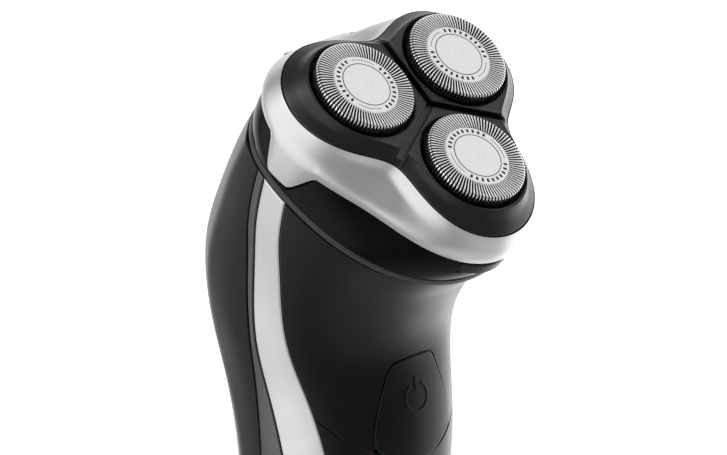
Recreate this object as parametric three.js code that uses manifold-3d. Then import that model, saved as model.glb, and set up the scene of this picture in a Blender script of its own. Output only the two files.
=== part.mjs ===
// Rotary electric shaver: a handle that leans forward at the neck, a swing-open shaving unit
// with three floating caps, a gear train that drives three cutters, and a pop-up trimmer.
// Millimetres. +Z is up, the front of the handle faces -Y, and the origin is the centre of the
// flat bottom of the handle.
import * as THREE from 'three';
import { mergeVertices } from 'three/addons/utils/BufferGeometryUtils.js';
import Module from 'manifold-3d';

const wasm = await Module();
wasm.setup();

// ---------------------------------------------------------------- driving dimensions

const GAP = 0.3;                // clearance between pieces that meet
const WALL = 1.8;               // wall of the moulded handle shells
const RAD = Math.PI / 180;

// The head: a plane through the three cap rims, tilted forward about X.
const HEAD_TILT = 37 * RAD;
const HEAD_CENTRE = new THREE.Vector3(0, -27, 143);
const CAP_PITCH = 27.3;                         // centre to centre of two caps
const CAP_ORBIT = CAP_PITCH / Math.sqrt(3);     // head centre to a cap's centre
const CAP_RADIUS = 11.2;
const CAP_HOLE = 12.1;                          // radius of the hole that a cap floats in

// Depths below the plane of the cap rims, measured along the head's axis.
const COLLAR_TOP = 14.2;
const COLLAR_FLOOR = 22;
const RIM_TOP = 22;
const RIM_BOTTOM = 23.6;
const COLLAR_BOTTOM = 24.4;
const GEAR_TOP = 25.2;
const GEAR_BOTTOM = 27.8;
const PLATE_TOP = 29;
const PLATE_BOTTOM = 31;
const MOTOR_TOP = 31.5;
const MOTOR_BOTTOM = 60;

// Gear train: the motor's pinion meshes with three equal drive gears.
const GEAR_TEETH = 18;
const PINION_TEETH = 12;
const GEAR_MODULE = 2 * CAP_ORBIT / (GEAR_TEETH + PINION_TEETH);
const SPINDLE_RADIUS = 1.5;

// The handle is a loft. Each station is a flat section that joins a point of the front profile
// to a point of the back profile: [front y, front z, back y, back z, half width, position of the
// widest point as a share of the depth from the front].
const STATIONS = [
  [-17.2, 0, 17.2, 0, 17.6, 0.5],
  [-19.6, 4, 19.8, 4, 20, 0.5],
  [-21.2, 24, 21, 24, 21.2, 0.5],
  [-22.4, 45, 22, 45, 22, 0.5],
  [-23.3, 62, 23.6, 62, 23.2, 0.5],
  [-21.8, 75, 26.4, 77, 24.6, 0.5],
  [-21, 84, 29.2, 92, 26.5, 0.5],
  [-23.6, 91.5, 28.9, 107, 27.7, 0.52],
  [-28, 98, 23.2, 120, 28.7, 0.56],
  [-32, 101.8, 16.2, 132, 29.7, 0.6],
  [-38.5, 106.1, 8.9, 141.9, 30.4, 0.646],
];
const SECTION_POWER = 2.1;      // superellipse power of every section
const BASE_HEIGHT = 9;          // height of the bottom cap

// ---------------------------------------------------------------- colours

function material(color, roughness, metalness) {
  return new THREE.MeshStandardMaterial({ color, roughness, metalness });
}

const SATIN_BLACK = () => material(0x17181a, 0.38, 0);
const GLOSS_BLACK = () => material(0x0b0e10, 0.1, 0);
const SATIN_SILVER = () => material(0xb4b7bb, 0.32, 0.85);
const CAP_STEEL = () => material(0xcfd1d2, 0.22, 1);
const BLADE_STEEL = () => material(0xa8abad, 0.3, 1);
const WHITE_NYLON = () => material(0xe6e5df, 0.5, 0);
const GREY_PLASTIC = () => material(0x54575a, 0.55, 0);
const BOARD_GREEN = () => material(0x1f5a3a, 0.5, 0);
const CELL_WRAP = () => material(0x2d6b9a, 0.4, 0);
const BRASS = () => material(0xb8923f, 0.3, 1);

// ---------------------------------------------------------------- solids

// Turn a closed three.js geometry into a manifold solid.
function toSolid(geometry) {
  const bare = geometry.clone();
  bare.deleteAttribute('normal');
  bare.deleteAttribute('uv');
  const merged = mergeVertices(bare, 1e-5);
  return new wasm.Manifold(new wasm.Mesh({
    numProp: 3,
    vertProperties: new Float32Array(merged.attributes.position.array),
    triVerts: new Uint32Array(merged.index.array),
  }));
}

// Turn a manifold solid back into a three.js geometry.
function toGeometry(solid) {
  const mesh = solid.getMesh();
  const geometry = new THREE.BufferGeometry();
  geometry.setAttribute('position', new THREE.BufferAttribute(mesh.vertProperties, 3));
  geometry.setIndex(new THREE.BufferAttribute(mesh.triVerts, 1));
  return geometry;
}

function cut(geometry, ...tools) {
  return toGeometry(tools.reduce((solid, tool) => solid.subtract(toSolid(tool)), toSolid(geometry)));
}

function join(geometry, ...others) {
  return toGeometry(others.reduce((solid, other) => solid.add(toSolid(other)), toSolid(geometry)));
}

function common(geometry, ...others) {
  return toGeometry(others.reduce((solid, other) => solid.intersect(toSolid(other)), toSolid(geometry)));
}

// Build an indexed geometry from points and triangles, turned so that its faces point out.
function closedGeometry(points, triangles) {
  let volume = 0;
  for (const [a, b, c] of triangles) {
    volume += points[a].dot(points[b].clone().cross(points[c]));
  }
  const index = triangles.flatMap(([a, b, c]) => (volume < 0 ? [a, c, b] : [a, b, c]));
  const geometry = new THREE.BufferGeometry().setFromPoints(points);
  geometry.setIndex(index);
  return geometry;
}

// Skin over a list of loops of equal length. A ring joins its last loop to its first;
// otherwise both ends are closed with a fan about their middle.
function loft(loops, ring = false) {
  const count = loops[0].length;
  const points = loops.flat();
  const triangles = [];
  const last = ring ? loops.length : loops.length - 1;
  for (let i = 0; i < last; i++) {
    const here = i * count;
    const next = ((i + 1) % loops.length) * count;
    for (let j = 0; j < count; j++) {
      const k = (j + 1) % count;
      triangles.push([here + j, here + k, next + k], [here + j, next + k, next + j]);
    }
  }
  if (!ring) {
    for (const [start, turned] of [[0, true], [(loops.length - 1) * count, false]]) {
      const loop = points.slice(start, start + count);
      const middle = loop.reduce((sum, p) => sum.add(p), new THREE.Vector3()).divideScalar(count);
      const centre = points.push(middle) - 1;
      for (let j = 0; j < count; j++) {
        const k = (j + 1) % count;
        triangles.push(turned ? [centre, start + k, start + j] : [centre, start + j, start + k]);
      }
    }
  }
  return closedGeometry(points, triangles);
}

// Solid of revolution about Z from [radius, height] pairs that run from axis to axis or close.
function turned(profile, segments = 24) {
  const outline = profile.map(([radius, height]) => new THREE.Vector2(radius, height));
  return new THREE.LatheGeometry(outline, segments).rotateX(Math.PI / 2);
}

// A turned rod or disc.
function rod(radius, low, high, segments = 20) {
  return turned([[0, low], [radius, low], [radius, high], [0, high]], segments);
}

// A box from its lowest corner to its highest corner.
function block(low, high) {
  const size = high.map((value, i) => value - low[i]);
  const centre = high.map((value, i) => (value + low[i]) / 2);
  return new THREE.BoxGeometry(...size).translate(...centre);
}

// ---------------------------------------------------------------- the handle's surface

const frontProfile = new THREE.CatmullRomCurve3(
  STATIONS.map(([frontY, frontZ, , , width]) => new THREE.Vector3(width, frontY, frontZ)));
const backProfile = new THREE.CatmullRomCurve3(
  STATIONS.map(([, , backY, backZ, , share]) => new THREE.Vector3(share * 100, backY, backZ)));

// The section at t (0 at the bottom, 1 at the collar), inset towards its middle.
function section(t, inset = 0) {
  const front = frontProfile.getPoint(t);
  const back = backProfile.getPoint(t);
  const halfWidth = front.x - inset;
  const share = back.x / 100;
  front.setX(0);
  back.setX(0);
  const depth = front.distanceTo(back);
  const forward = front.clone().sub(back).normalize();
  const centre = front.clone().lerp(back, share);
  return { centre, forward, halfWidth, front: depth * share - inset, back: depth * (1 - share) - inset };
}

function power(value) {
  return Math.sign(value) * Math.abs(value) ** (2 / SECTION_POWER);
}

// A point of the handle's surface. The angle is 0 at the front and positive towards +X.
function surfacePoint(t, angle, inset = 0) {
  const { centre, forward, halfWidth, front, back } = section(t, inset);
  const along = Math.cos(angle) >= 0 ? front : back;
  return centre.clone()
    .addScaledVector(forward, along * power(Math.cos(angle)))
    .add(new THREE.Vector3(halfWidth * power(Math.sin(angle)), 0, 0));
}

function sectionLoop(t, inset, count) {
  return Array.from({ length: count }, (_, j) => surfacePoint(t, j / count * 2 * Math.PI, inset));
}

// Solid inside the handle's surface between two values of t.
function handleSolid(inset, low = 0, high = 1, steps = 18, count = 40) {
  return loft(Array.from({ length: steps + 1 },
    (_, i) => sectionLoop(low + (high - low) * i / steps, inset, count)));
}

// The value of t at which the front profile reaches a height.
function atHeight(height) {
  let low = 0;
  let high = 1;
  while (high - low > 1e-5) {
    const middle = (low + high) / 2;
    if (frontProfile.getPoint(middle).z < height) {
      low = middle;
    } else {
      high = middle;
    }
  }
  return low;
}

// Shell between two angles and two values of t. The four bounds are functions: the angles of t,
// and the values of t of u, which runs from -1 to 1 across the patch.
function shellPatch({ left, right, bottom, top, across, up, wall = WALL }) {
  const points = [];
  const index = (layer, i, j) => (layer * (up + 1) + i) * (across + 1) + j;
  for (const inset of [0, wall]) {
    for (let i = 0; i <= up; i++) {
      for (let j = 0; j <= across; j++) {
        const u = 2 * j / across - 1;
        const t = bottom(u) + (top(u) - bottom(u)) * i / up;
        const edgeGap = GAP / 2 / section(t).halfWidth;
        const from = left(t) + edgeGap;
        const to = right(t) - edgeGap;
        points.push(surfacePoint(t, from + (to - from) * j / across, inset));
      }
    }
  }
  const triangles = [];
  const quad = (a, b, c, d) => triangles.push([a, b, c], [a, c, d]);
  for (let i = 0; i < up; i++) {
    for (let j = 0; j < across; j++) {
      quad(index(0, i, j), index(0, i, j + 1), index(0, i + 1, j + 1), index(0, i + 1, j));
      quad(index(1, i, j), index(1, i + 1, j), index(1, i + 1, j + 1), index(1, i, j + 1));
    }
  }
  for (let i = 0; i < up; i++) {
    quad(index(0, i, 0), index(0, i + 1, 0), index(1, i + 1, 0), index(1, i, 0));
    quad(index(0, i, across), index(1, i, across), index(1, i + 1, across), index(0, i + 1, across));
  }
  for (let j = 0; j < across; j++) {
    quad(index(0, 0, j), index(1, 0, j), index(1, 0, j + 1), index(0, 0, j + 1));
    quad(index(0, up, j), index(0, up, j + 1), index(1, up, j + 1), index(1, up, j));
  }
  return closedGeometry(points, triangles);
}

// ---------------------------------------------------------------- seams of the handle

const T_BASE = atHeight(BASE_HEIGHT);
const T_SHELL_TOP = 0.985;

function smooth(value) {
  const x = Math.min(Math.max(value, 0), 1);
  return x * x * (3 - 2 * x);
}

// Values of t at which the seams' half angles are given.
const SEAM_KNOTS = [T_BASE, 0.42, 0.56, 0.7, 0.84, 1];

// A seam's half angle at t, in radians, from its degrees at the knots.
function seam(degrees) {
  const curve = new THREE.CubicInterpolant(SEAM_KNOTS, degrees, 1);
  return (t) => RAD * curve.evaluate(Math.max(t, T_BASE))[0];
}

const frontSeam = seam([40, 54, 60, 66, 73, 79.5]);       // front panels to silver trims
const trimSeam = seam([62, 79.7, 80.8, 81.3, 86, 90.5]);  // silver trims to gloss inserts
const backSeam = seam([100, 93.8, 85.6, 84.6, 90, 97]);   // gloss inserts to back shell

// The seam under the power button sags in the middle.
const SEAM_MIDDLE = 60.3;
const SEAM_SIDE = 71.3;
function panelSeam(u) {
  return atHeight(SEAM_MIDDLE + (SEAM_SIDE - SEAM_MIDDLE) * u * u);
}

// ---------------------------------------------------------------- the head's outlines

const LOBES = 48;               // points round each outline

// Outlines in the head's frame: +Z along the head's axis, -Y towards the front lobe.
// Each is a radius and a depth at an angle from the front lobe, with the head's 3-fold symmetry.
function threefold(mean, swing, second) {
  return (angle) => mean + swing * Math.cos(3 * angle) + second * Math.cos(6 * angle);
}

const faceRadius = threefold(23, 5.9, -0.3);
const FACE_DEPTH = 2;
const shoulderRadius = threefold(24.2, 6, -0.2);
const shoulderDepth = threefold(3.5, 0.5, 0);
const holderRadius = threefold(26.6, 6.4, -0.6);
const holderDepth = threefold(5.2, 0.9, 0);
const creaseRadius = threefold(27.3, 6.5, -0.6);
const creaseDepth = threefold(7.4, 0.2, 0);
const wideRadius = threefold(30.5, 4.1, 0);
const WIDE_DEPTH = 10.8;
const skirtRadius = threefold(29.9, 3.9, 0);

// The bezel's lower edge: a leg on each side reaches down to the collar.
const SKIRT_DEPTH = 13.6;
const LEG_LENGTH = 6.8;
function skirtDepth(angle) {
  const side = Math.abs(Math.atan2(Math.sin(angle), Math.cos(angle))) / RAD;
  return SKIRT_DEPTH + LEG_LENGTH * (smooth((side - 84) / 9) - 1.1 * smooth((side - 101) / 9));
}

function headLoop(radius, depth, count) {
  return Array.from({ length: count }, (_, j) => {
    const angle = j / count * 2 * Math.PI;
    const r = typeof radius === 'function' ? radius(angle) : radius;
    const h = typeof depth === 'function' ? depth(angle) : depth;
    return new THREE.Vector3(r * Math.sin(angle), -r * Math.cos(angle), -h);
  });
}

function capCentre(index) {
  const angle = index * 2 * Math.PI / 3;
  return new THREE.Vector3(CAP_ORBIT * Math.sin(angle), -CAP_ORBIT * Math.cos(angle), 0);
}

const CAPS = [0, 1, 2];

// ---------------------------------------------------------------- assembly helpers

const shaver = new THREE.Group();
const head = new THREE.Group();
head.position.copy(HEAD_CENTRE);
head.rotation.x = HEAD_TILT;
shaver.add(head);

function add(parent, name, geometry, look) {
  const mesh = new THREE.Mesh(geometry, look);
  mesh.name = name;
  parent.add(mesh);
  return mesh;
}

head.updateMatrixWorld(true);
const worldToHead = head.matrixWorld.clone().invert();

// A handle geometry moved into the head's frame.
function inHead(geometry) {
  return geometry.clone().applyMatrix4(worldToHead);
}

// ---------------------------------------------------------------- power button

const BUTTON_SHOULDER = 82.8;   // height of the button's upper corners
const BUTTON_HALF = 10.9;
const BUTTON_FOOT = 63.7;       // height of its lower corners, just above the sagging seam

// Shield outline of the power button, seen from the front, grown by a margin; sag is the height
// that its lower edge's curve aims at.
function shield(margin, foot = BUTTON_FOOT, sag = 57.5) {
  const top = BUTTON_SHOULDER + margin;
  const half = BUTTON_HALF + margin;
  const low = half - 0.9;
  const shape = new THREE.Shape();
  shape.moveTo(-4.8, top);
  shape.quadraticCurveTo(0, top + 0.8, 4.8, top);
  shape.bezierCurveTo(5.8, top - 0.2, 6.4 + margin, top - 1, 6.9 + margin, top - 2.2);
  shape.bezierCurveTo(8.4 + margin, 77.2, half, 71.5, half, 66.5);
  shape.bezierCurveTo(half, 65.2, half - 0.2, foot + 0.7, low, foot);
  shape.quadraticCurveTo(0, sag, -low, foot);
  shape.bezierCurveTo(-half + 0.2, foot + 0.7, -half, 65.2, -half, 66.5);
  shape.bezierCurveTo(-half, 71.5, -8.4 - margin, 77.2, -6.9 - margin, top - 2.2);
  shape.bezierCurveTo(-6.4 - margin, top - 1, -5.8, top - 0.2, -4.8, top);
  return shape;
}

// The shield pushed through the front wall, from a depth behind it out past the surface.
function shieldPrism(outline, behind, ahead) {
  const geometry = new THREE.ExtrudeGeometry(outline,
    { depth: ahead - behind, bevelEnabled: false, curveSegments: 6 });
  return geometry.rotateX(Math.PI / 2).translate(0, -behind, 0);
}

const BUTTON_BACK = 16.5;       // distance of the button's flat back from the handle's axis
const buttonHole = shieldPrism(shield(GAP, 58, 55), 10, 40);
const powerButton = common(handleSolid(-0.25, 0.3, 0.75, 12), shieldPrism(shield(0), BUTTON_BACK, 40));
add(shaver, 'power_button', powerButton, SATIN_BLACK());

// ---------------------------------------------------------------- handle shells

const frontPanel = shellPatch({
  left: (t) => -frontSeam(t),
  right: frontSeam,
  bottom: (u) => panelSeam(u) + 0.001,
  top: () => T_SHELL_TOP,
  across: 14,
  up: 10,
});
add(shaver, 'front_panel', cut(frontPanel, buttonHole), SATIN_BLACK());

const lowerPanel = shellPatch({
  left: (t) => -frontSeam(t),
  right: frontSeam,
  bottom: () => T_BASE + 0.001,
  top: (u) => panelSeam(u) - 0.001,
  across: 10,
  up: 9,
});
add(shaver, 'lower_panel', lowerPanel, SATIN_BLACK());

for (const [side, name] of [[-1, 'left'], [1, 'right']]) {
  const bounds = (inner, outer) => (side > 0
    ? { left: inner, right: outer }
    : { left: (t) => -outer(t), right: (t) => -inner(t) });
  const span = { bottom: () => T_BASE + 0.001, top: () => T_SHELL_TOP, up: 14 };
  add(shaver, `side_trim_${name}`,
    shellPatch({ ...bounds(frontSeam, trimSeam), ...span, across: 3 }), SATIN_SILVER());
  add(shaver, `side_insert_${name}`,
    shellPatch({ ...bounds(trimSeam, backSeam), ...span, across: 1 }), GLOSS_BLACK());
}

// Opening in the back shell for the pop-up trimmer and its slider.
const TRIMMER_HALF = 13.5;
const TRIMMER_HIGH = 126;
const TRIMMER_AXIS_Y = 23.9;
const TRIMMER_AXIS_Z = 107;
const TRIMMER_HEEL = 5.2;       // radius of the trimmer's rounded lower end about its axle

// Outline of the trimmer pushed through the back: square above its axle, round below.
function trimmerPrism(margin, headroom) {
  const half = TRIMMER_HALF + margin;
  return join(
    block([-half, 8, TRIMMER_AXIS_Z], [half, 40, TRIMMER_HIGH + headroom]),
    rod(TRIMMER_HEEL + margin, -half, half).rotateY(Math.PI / 2)
      .translate(0, TRIMMER_AXIS_Y, TRIMMER_AXIS_Z));
}

const SLIDER_HALF = 4.5;
const SLIDER_LOW = 86;
const SLIDER_HIGH = 95;
const SLIDER_TRAVEL = 4;
const SLOT_MARGIN = 1.5;        // the pad hides the ends of its slot by this much

const backShell = shellPatch({
  left: backSeam,
  right: (t) => 2 * Math.PI - backSeam(t),
  bottom: () => T_BASE + 0.001,
  top: () => T_SHELL_TOP,
  across: 14,
  up: 14,
});
const sliderSlot = block([-3, 8, SLIDER_LOW - SLIDER_TRAVEL + SLOT_MARGIN],
  [3, 40, SLIDER_HIGH - SLOT_MARGIN]);
add(shaver, 'back_shell', cut(backShell, trimmerPrism(0.5, 1.9), sliderSlot), SATIN_BLACK());

// ---------------------------------------------------------------- bottom cap and charging socket

const SOCKET_Y = 9;             // the socket sits behind the middle of the bottom
const SOCKET_X = 5;
const SOCKET_HALF_DEPTH = 3.6;
const SOCKET_DEEP = 11;
const socketMouth = block([-SOCKET_X, SOCKET_Y - SOCKET_HALF_DEPTH, -1],
  [SOCKET_X, SOCKET_Y + SOCKET_HALF_DEPTH, SOCKET_DEEP]);
const socketCase = block([-SOCKET_X - 1.5, SOCKET_Y - SOCKET_HALF_DEPTH - 1.5, 2.6],
  [SOCKET_X + 1.5, SOCKET_Y + SOCKET_HALF_DEPTH + 1.5, SOCKET_DEEP + 3]);

const baseCap = cut(handleSolid(0, 0, T_BASE - 0.001, 4), handleSolid(WALL, 0.05, T_BASE + 0.05, 4),
  socketMouth);
add(shaver, 'base_cap', baseCap, SATIN_BLACK());

const PIN_X = 2.2;
const PIN_RADIUS = 0.7;
const pinBore = (x) => rod(PIN_RADIUS + GAP, SOCKET_DEEP - 1, SOCKET_DEEP + 4, 16)
  .translate(x, SOCKET_Y, 0);
add(shaver, 'charging_socket', cut(socketCase, socketMouth, pinBore(-PIN_X), pinBore(PIN_X)),
  GREY_PLASTIC());
for (const [side, name] of [[-1, 'left'], [1, 'right']]) {
  add(shaver, `contact_pin_${name}`,
    rod(PIN_RADIUS, SOCKET_DEEP - 4.5, SOCKET_DEEP + 5, 12).translate(side * PIN_X, SOCKET_Y, 0), BRASS());
}

// ---------------------------------------------------------------- inside the handle

const CHASSIS_HALF = 15.5;
const CHASSIS_FRONT = -9;
const CHASSIS_BACK = -7.2;
const CHASSIS_TOP = 84;
const chassis = join(
  block([-CHASSIS_HALF, CHASSIS_FRONT, 18], [CHASSIS_HALF, CHASSIS_BACK, CHASSIS_TOP]),
  block([-CHASSIS_HALF, CHASSIS_BACK - 0.5, 18], [-CHASSIS_HALF + 2, 8, 66]),
  block([CHASSIS_HALF - 2, CHASSIS_BACK - 0.5, 18], [CHASSIS_HALF, 8, 66]));
add(shaver, 'chassis', chassis, GREY_PLASTIC());

add(shaver, 'battery', turned([[0, 18.5], [6.6, 18.5], [7.1, 19], [7.1, 66.5], [6.6, 67], [2.8, 67],
  [2.8, 68], [0, 68]]).translate(0, 4, 0), CELL_WRAP());
add(shaver, 'circuit_board', block([-11, -13.6, 20], [11, -12, 82]), BOARD_GREEN());
add(shaver, 'power_switch', join(block([-3, -15, 67], [3, -13.8, 73]),
  rod(1.6, 0, 0.6, 16).rotateX(Math.PI / 2).translate(0, -14.9, 70)), GREY_PLASTIC());

// ---------------------------------------------------------------- collar and its rim

const RIM_POINTS = 44;

// Points of the collar's outline in the head's frame, dropped to a depth and inset.
function rimLoop(depth, inset) {
  return sectionLoop(1, inset, RIM_POINTS).map((point) => {
    const local = point.applyMatrix4(worldToHead);
    return local.setZ(-depth);
  });
}

// Points above the rim, on the bezel's skirt outline inset by a margin.
function neckLoop(depth, inset) {
  return rimLoop(depth, 0).map((point) => {
    const angle = Math.atan2(point.x, -point.y);
    const radius = skirtRadius(angle) - inset;
    return new THREE.Vector3(radius * Math.sin(angle), -radius * Math.cos(angle), -depth);
  });
}

const HINGE_Y = 28.4;           // behind the head's centre
const HINGE_DEPTH = 18.2;
const HINGE_RADIUS = 1.5;
const HINGE_BORE = 0.9;
const HINGE_PIN = 0.6;
const EAR_INNER = 6.6;
const EAR_OUTER = 10;

function alongX(radius, low, high, segments = 20) {
  return rod(radius, low, high, segments).rotateY(Math.PI / 2).translate(0, HINGE_Y, -HINGE_DEPTH);
}

const RELEASE_HALF = 7.5;
const RELEASE_TOP = 14.8;
const RELEASE_BOTTOM = 17.6;

function spindleHole(index, radius, top, bottom) {
  const centre = capCentre(index);
  return rod(radius, -bottom, -top, 20).translate(centre.x, centre.y, 0);
}

const collarBowl = loft([
  rimLoop(COLLAR_BOTTOM, 3.2),
  rimLoop(RIM_TOP, 3.2),
  rimLoop(RIM_TOP - 0.3, 0.15),
  rimLoop(21, 0.2),
  neckLoop(17.5, 0.9),
  neckLoop(COLLAR_TOP, 2.2),
  neckLoop(COLLAR_TOP, 3.8),
  neckLoop(17.5, 3.4),
  rimLoop(20.8, 3.4),
  rimLoop(COLLAR_FLOOR, 5),
]);

// The space that the bezel's skirt and legs take up round the collar.
const skirtSpace = loft([
  headLoop((angle) => skirtRadius(angle) + 4, 9, LOBES),
  headLoop((angle) => skirtRadius(angle) + 4, (angle) => skirtDepth(angle) + 0.4, LOBES),
  headLoop((angle) => skirtRadius(angle) - 2, (angle) => skirtDepth(angle) + 0.4, LOBES),
  headLoop((angle) => skirtRadius(angle) - 2, 9, LOBES),
], true);
const ears = [-1, 1].map((side) => {
  const low = Math.min(side * EAR_INNER, side * EAR_OUTER);
  const high = Math.max(side * EAR_INNER, side * EAR_OUTER);
  return join(alongX(HINGE_RADIUS, low, high),
    block([low, HINGE_Y - 3.2, -RIM_TOP + 0.4], [high, HINGE_Y + 1.2, -HINGE_DEPTH]));
});
const collar = cut(join(cut(collarBowl, skirtSpace), ...ears),
  alongX(HINGE_BORE, -EAR_OUTER - 1, EAR_OUTER + 1),
  block([-RELEASE_HALF - GAP, -40, -RELEASE_BOTTOM - GAP], [RELEASE_HALF + GAP, -26, -RELEASE_TOP + GAP]),
  ...CAPS.map((index) => spindleHole(index, 2.4, COLLAR_FLOOR - 1, COLLAR_BOTTOM + 1)));
add(head, 'collar', collar, GLOSS_BLACK());

add(head, 'collar_rim', loft([
  rimLoop(RIM_TOP, 0.1),
  rimLoop(RIM_BOTTOM, 0.1),
  rimLoop(RIM_BOTTOM, 2.7),
  rimLoop(RIM_TOP, 2.7),
], true), GREY_PLASTIC());

add(head, 'unit_hinge_pin', alongX(HINGE_PIN, -EAR_OUTER, EAR_OUTER), BLADE_STEEL());

const releaseOutline = new THREE.Shape();
releaseOutline.moveTo(-RELEASE_HALF, -28.6);
releaseOutline.lineTo(-RELEASE_HALF, -31);
releaseOutline.quadraticCurveTo(0, -36, RELEASE_HALF, -31);
releaseOutline.lineTo(RELEASE_HALF, -28.6);
releaseOutline.closePath();
add(head, 'release_button', new THREE.ExtrudeGeometry(releaseOutline,
  { depth: RELEASE_BOTTOM - RELEASE_TOP, bevelEnabled: false, curveSegments: 10 })
  .translate(0, 0, -RELEASE_BOTTOM), SATIN_BLACK());

// ---------------------------------------------------------------- gear train and motor

// Outline of a spur gear with straight-sided teeth, one tooth centred on the given angle.
function gearShape(teeth, phase, bore) {
  const pitch = GEAR_MODULE * teeth / 2;
  const tip = pitch + 0.75 * GEAR_MODULE;
  const root = pitch - 1.15 * GEAR_MODULE;
  const half = Math.PI / teeth;
  const shape = new THREE.Shape();
  for (let i = 0; i < teeth; i++) {
    const middle = phase + i * 2 * half;
    const corners = [[root, -0.56], [tip, -0.2], [tip, 0.2], [root, 0.56]];
    for (const [radius, share] of corners) {
      const angle = middle + share * half;
      const x = radius * Math.cos(angle);
      const y = radius * Math.sin(angle);
      if (shape.curves.length === 0 && i === 0 && share === -0.56) {
        shape.moveTo(x, y);
      } else {
        shape.lineTo(x, y);
      }
    }
  }
  shape.closePath();
  if (bore > 0) {
    shape.holes.push(new THREE.Path().absarc(0, 0, bore, 0, 2 * Math.PI, true));
  }
  return shape;
}

function gear(teeth, phase, bore) {
  return new THREE.ExtrudeGeometry(gearShape(teeth, phase, bore),
    { depth: GEAR_BOTTOM - GEAR_TOP, bevelEnabled: false, curveSegments: 10 })
    .translate(0, 0, -GEAR_BOTTOM);
}

// A gap of each drive gear faces the pinion, and a tooth of the pinion stands in it.
for (const index of CAPS) {
  const towards = index * 2 * Math.PI / 3 + Math.PI / 2;
  const centre = capCentre(index);
  const wheel = gear(GEAR_TEETH, towards + Math.PI / GEAR_TEETH, SPINDLE_RADIUS + GAP);
  add(head, `drive_gear_${index + 1}`, wheel.translate(centre.x, centre.y, 0), WHITE_NYLON());
  const spindle = turned([[0, -PLATE_BOTTOM + 0.5], [SPINDLE_RADIUS, -PLATE_BOTTOM + 0.5],
    [SPINDLE_RADIUS, -9.8], [1, -9.2], [0, -9.2]], 20);
  add(head, `drive_spindle_${index + 1}`, spindle.translate(centre.x, centre.y, 0), WHITE_NYLON());
}

const SHAFT_RADIUS = 1;
const pinion = gear(PINION_TEETH, -Math.PI / 2, 0);
add(head, 'motor_pinion', join(pinion, rod(SHAFT_RADIUS, -MOTOR_TOP + 0.2, -GEAR_TOP - 1, 16)), BRASS());

const SCREW_ORBIT = 22.3;
const SCREWS = [60, 180, 300].map((degrees) => new THREE.Vector3(
  SCREW_ORBIT * Math.sin(degrees * RAD), -SCREW_ORBIT * Math.cos(degrees * RAD), 0));

const slab = block([-60, -60, -PLATE_BOTTOM], [60, 60, -PLATE_TOP]);
const plateBlank = common(inHead(handleSolid(WALL + 0.6, 0.6, 1, 12)), slab);
add(head, 'gear_plate', cut(plateBlank,
  rod(SHAFT_RADIUS + 0.5, -PLATE_BOTTOM - 1, -PLATE_TOP + 1, 20),
  ...CAPS.map((index) => spindleHole(index, SPINDLE_RADIUS + GAP, PLATE_TOP - 1, PLATE_BOTTOM + 1)),
  ...SCREWS.map(({ x, y }) => rod(1.3, -PLATE_BOTTOM - 1, -PLATE_TOP + 1, 16).translate(x, y, 0))),
GREY_PLASTIC());
SCREWS.forEach(({ x, y }, i) => {
  const screw = turned([[0, -PLATE_BOTTOM - 2], [1, -PLATE_BOTTOM - 2], [1, -PLATE_TOP + 0.3],
    [1.9, -PLATE_TOP + 0.3], [1.9, -PLATE_TOP + 1.1], [0, -PLATE_TOP + 1.4]], 10);
  add(head, `gear_plate_screw_${i + 1}`, screw.translate(x, y, 0), BLADE_STEEL());
});

const MOTOR_RADIUS = 10;
add(head, 'motor', turned([[0, -MOTOR_BOTTOM - 1.5], [3, -MOTOR_BOTTOM - 1.5], [3, -MOTOR_BOTTOM],
  [MOTOR_RADIUS - 0.6, -MOTOR_BOTTOM], [MOTOR_RADIUS, -MOTOR_BOTTOM + 0.6],
  [MOTOR_RADIUS, -MOTOR_TOP - 0.6], [MOTOR_RADIUS - 0.6, -MOTOR_TOP], [0, -MOTOR_TOP]]), BLADE_STEEL());

// ---------------------------------------------------------------- shaving unit

const bezelRing = loft([
  headLoop(holderRadius, holderDepth, LOBES),
  headLoop(creaseRadius, creaseDepth, LOBES),
  headLoop(wideRadius, WIDE_DEPTH, LOBES),
  headLoop(skirtRadius, skirtDepth, LOBES),
  headLoop((angle) => skirtRadius(angle) - 1.5, skirtDepth, LOBES),
  headLoop((angle) => wideRadius(angle) - 1.8, (angle) => WIDE_DEPTH + 1 - Math.cos(3 * angle), LOBES),
  headLoop(holderRadius, (angle) => creaseDepth(angle) + 1.6, LOBES),
], true);
const KNUCKLE_HALF = 6;
// Side view of the arm that slants from the rear of the skirt down to the knuckle: y and depth.
const ARM_OUTLINE = [[24.9, 11.9], [26.1, 12.3], [29.1, 15.6], [30, 17.4], [28.4, 18.4], [26.9, 17.2],
  [24.9, 14.6]];
const armShape = new THREE.Shape(ARM_OUTLINE.map(([y, depth]) => new THREE.Vector2(y, -depth)));
const arm = new THREE.ExtrudeGeometry(armShape, { depth: 2 * KNUCKLE_HALF, bevelEnabled: false })
  .rotateX(Math.PI / 2).rotateZ(Math.PI / 2).translate(-KNUCKLE_HALF, 0, 0);
const knuckle = join(alongX(HINGE_RADIUS, -KNUCKLE_HALF, KNUCKLE_HALF), arm);
const bezel = cut(join(bezelRing, knuckle), alongX(HINGE_BORE, -EAR_OUTER, EAR_OUTER));
add(head, 'bezel', bezel, SATIN_SILVER());

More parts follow.
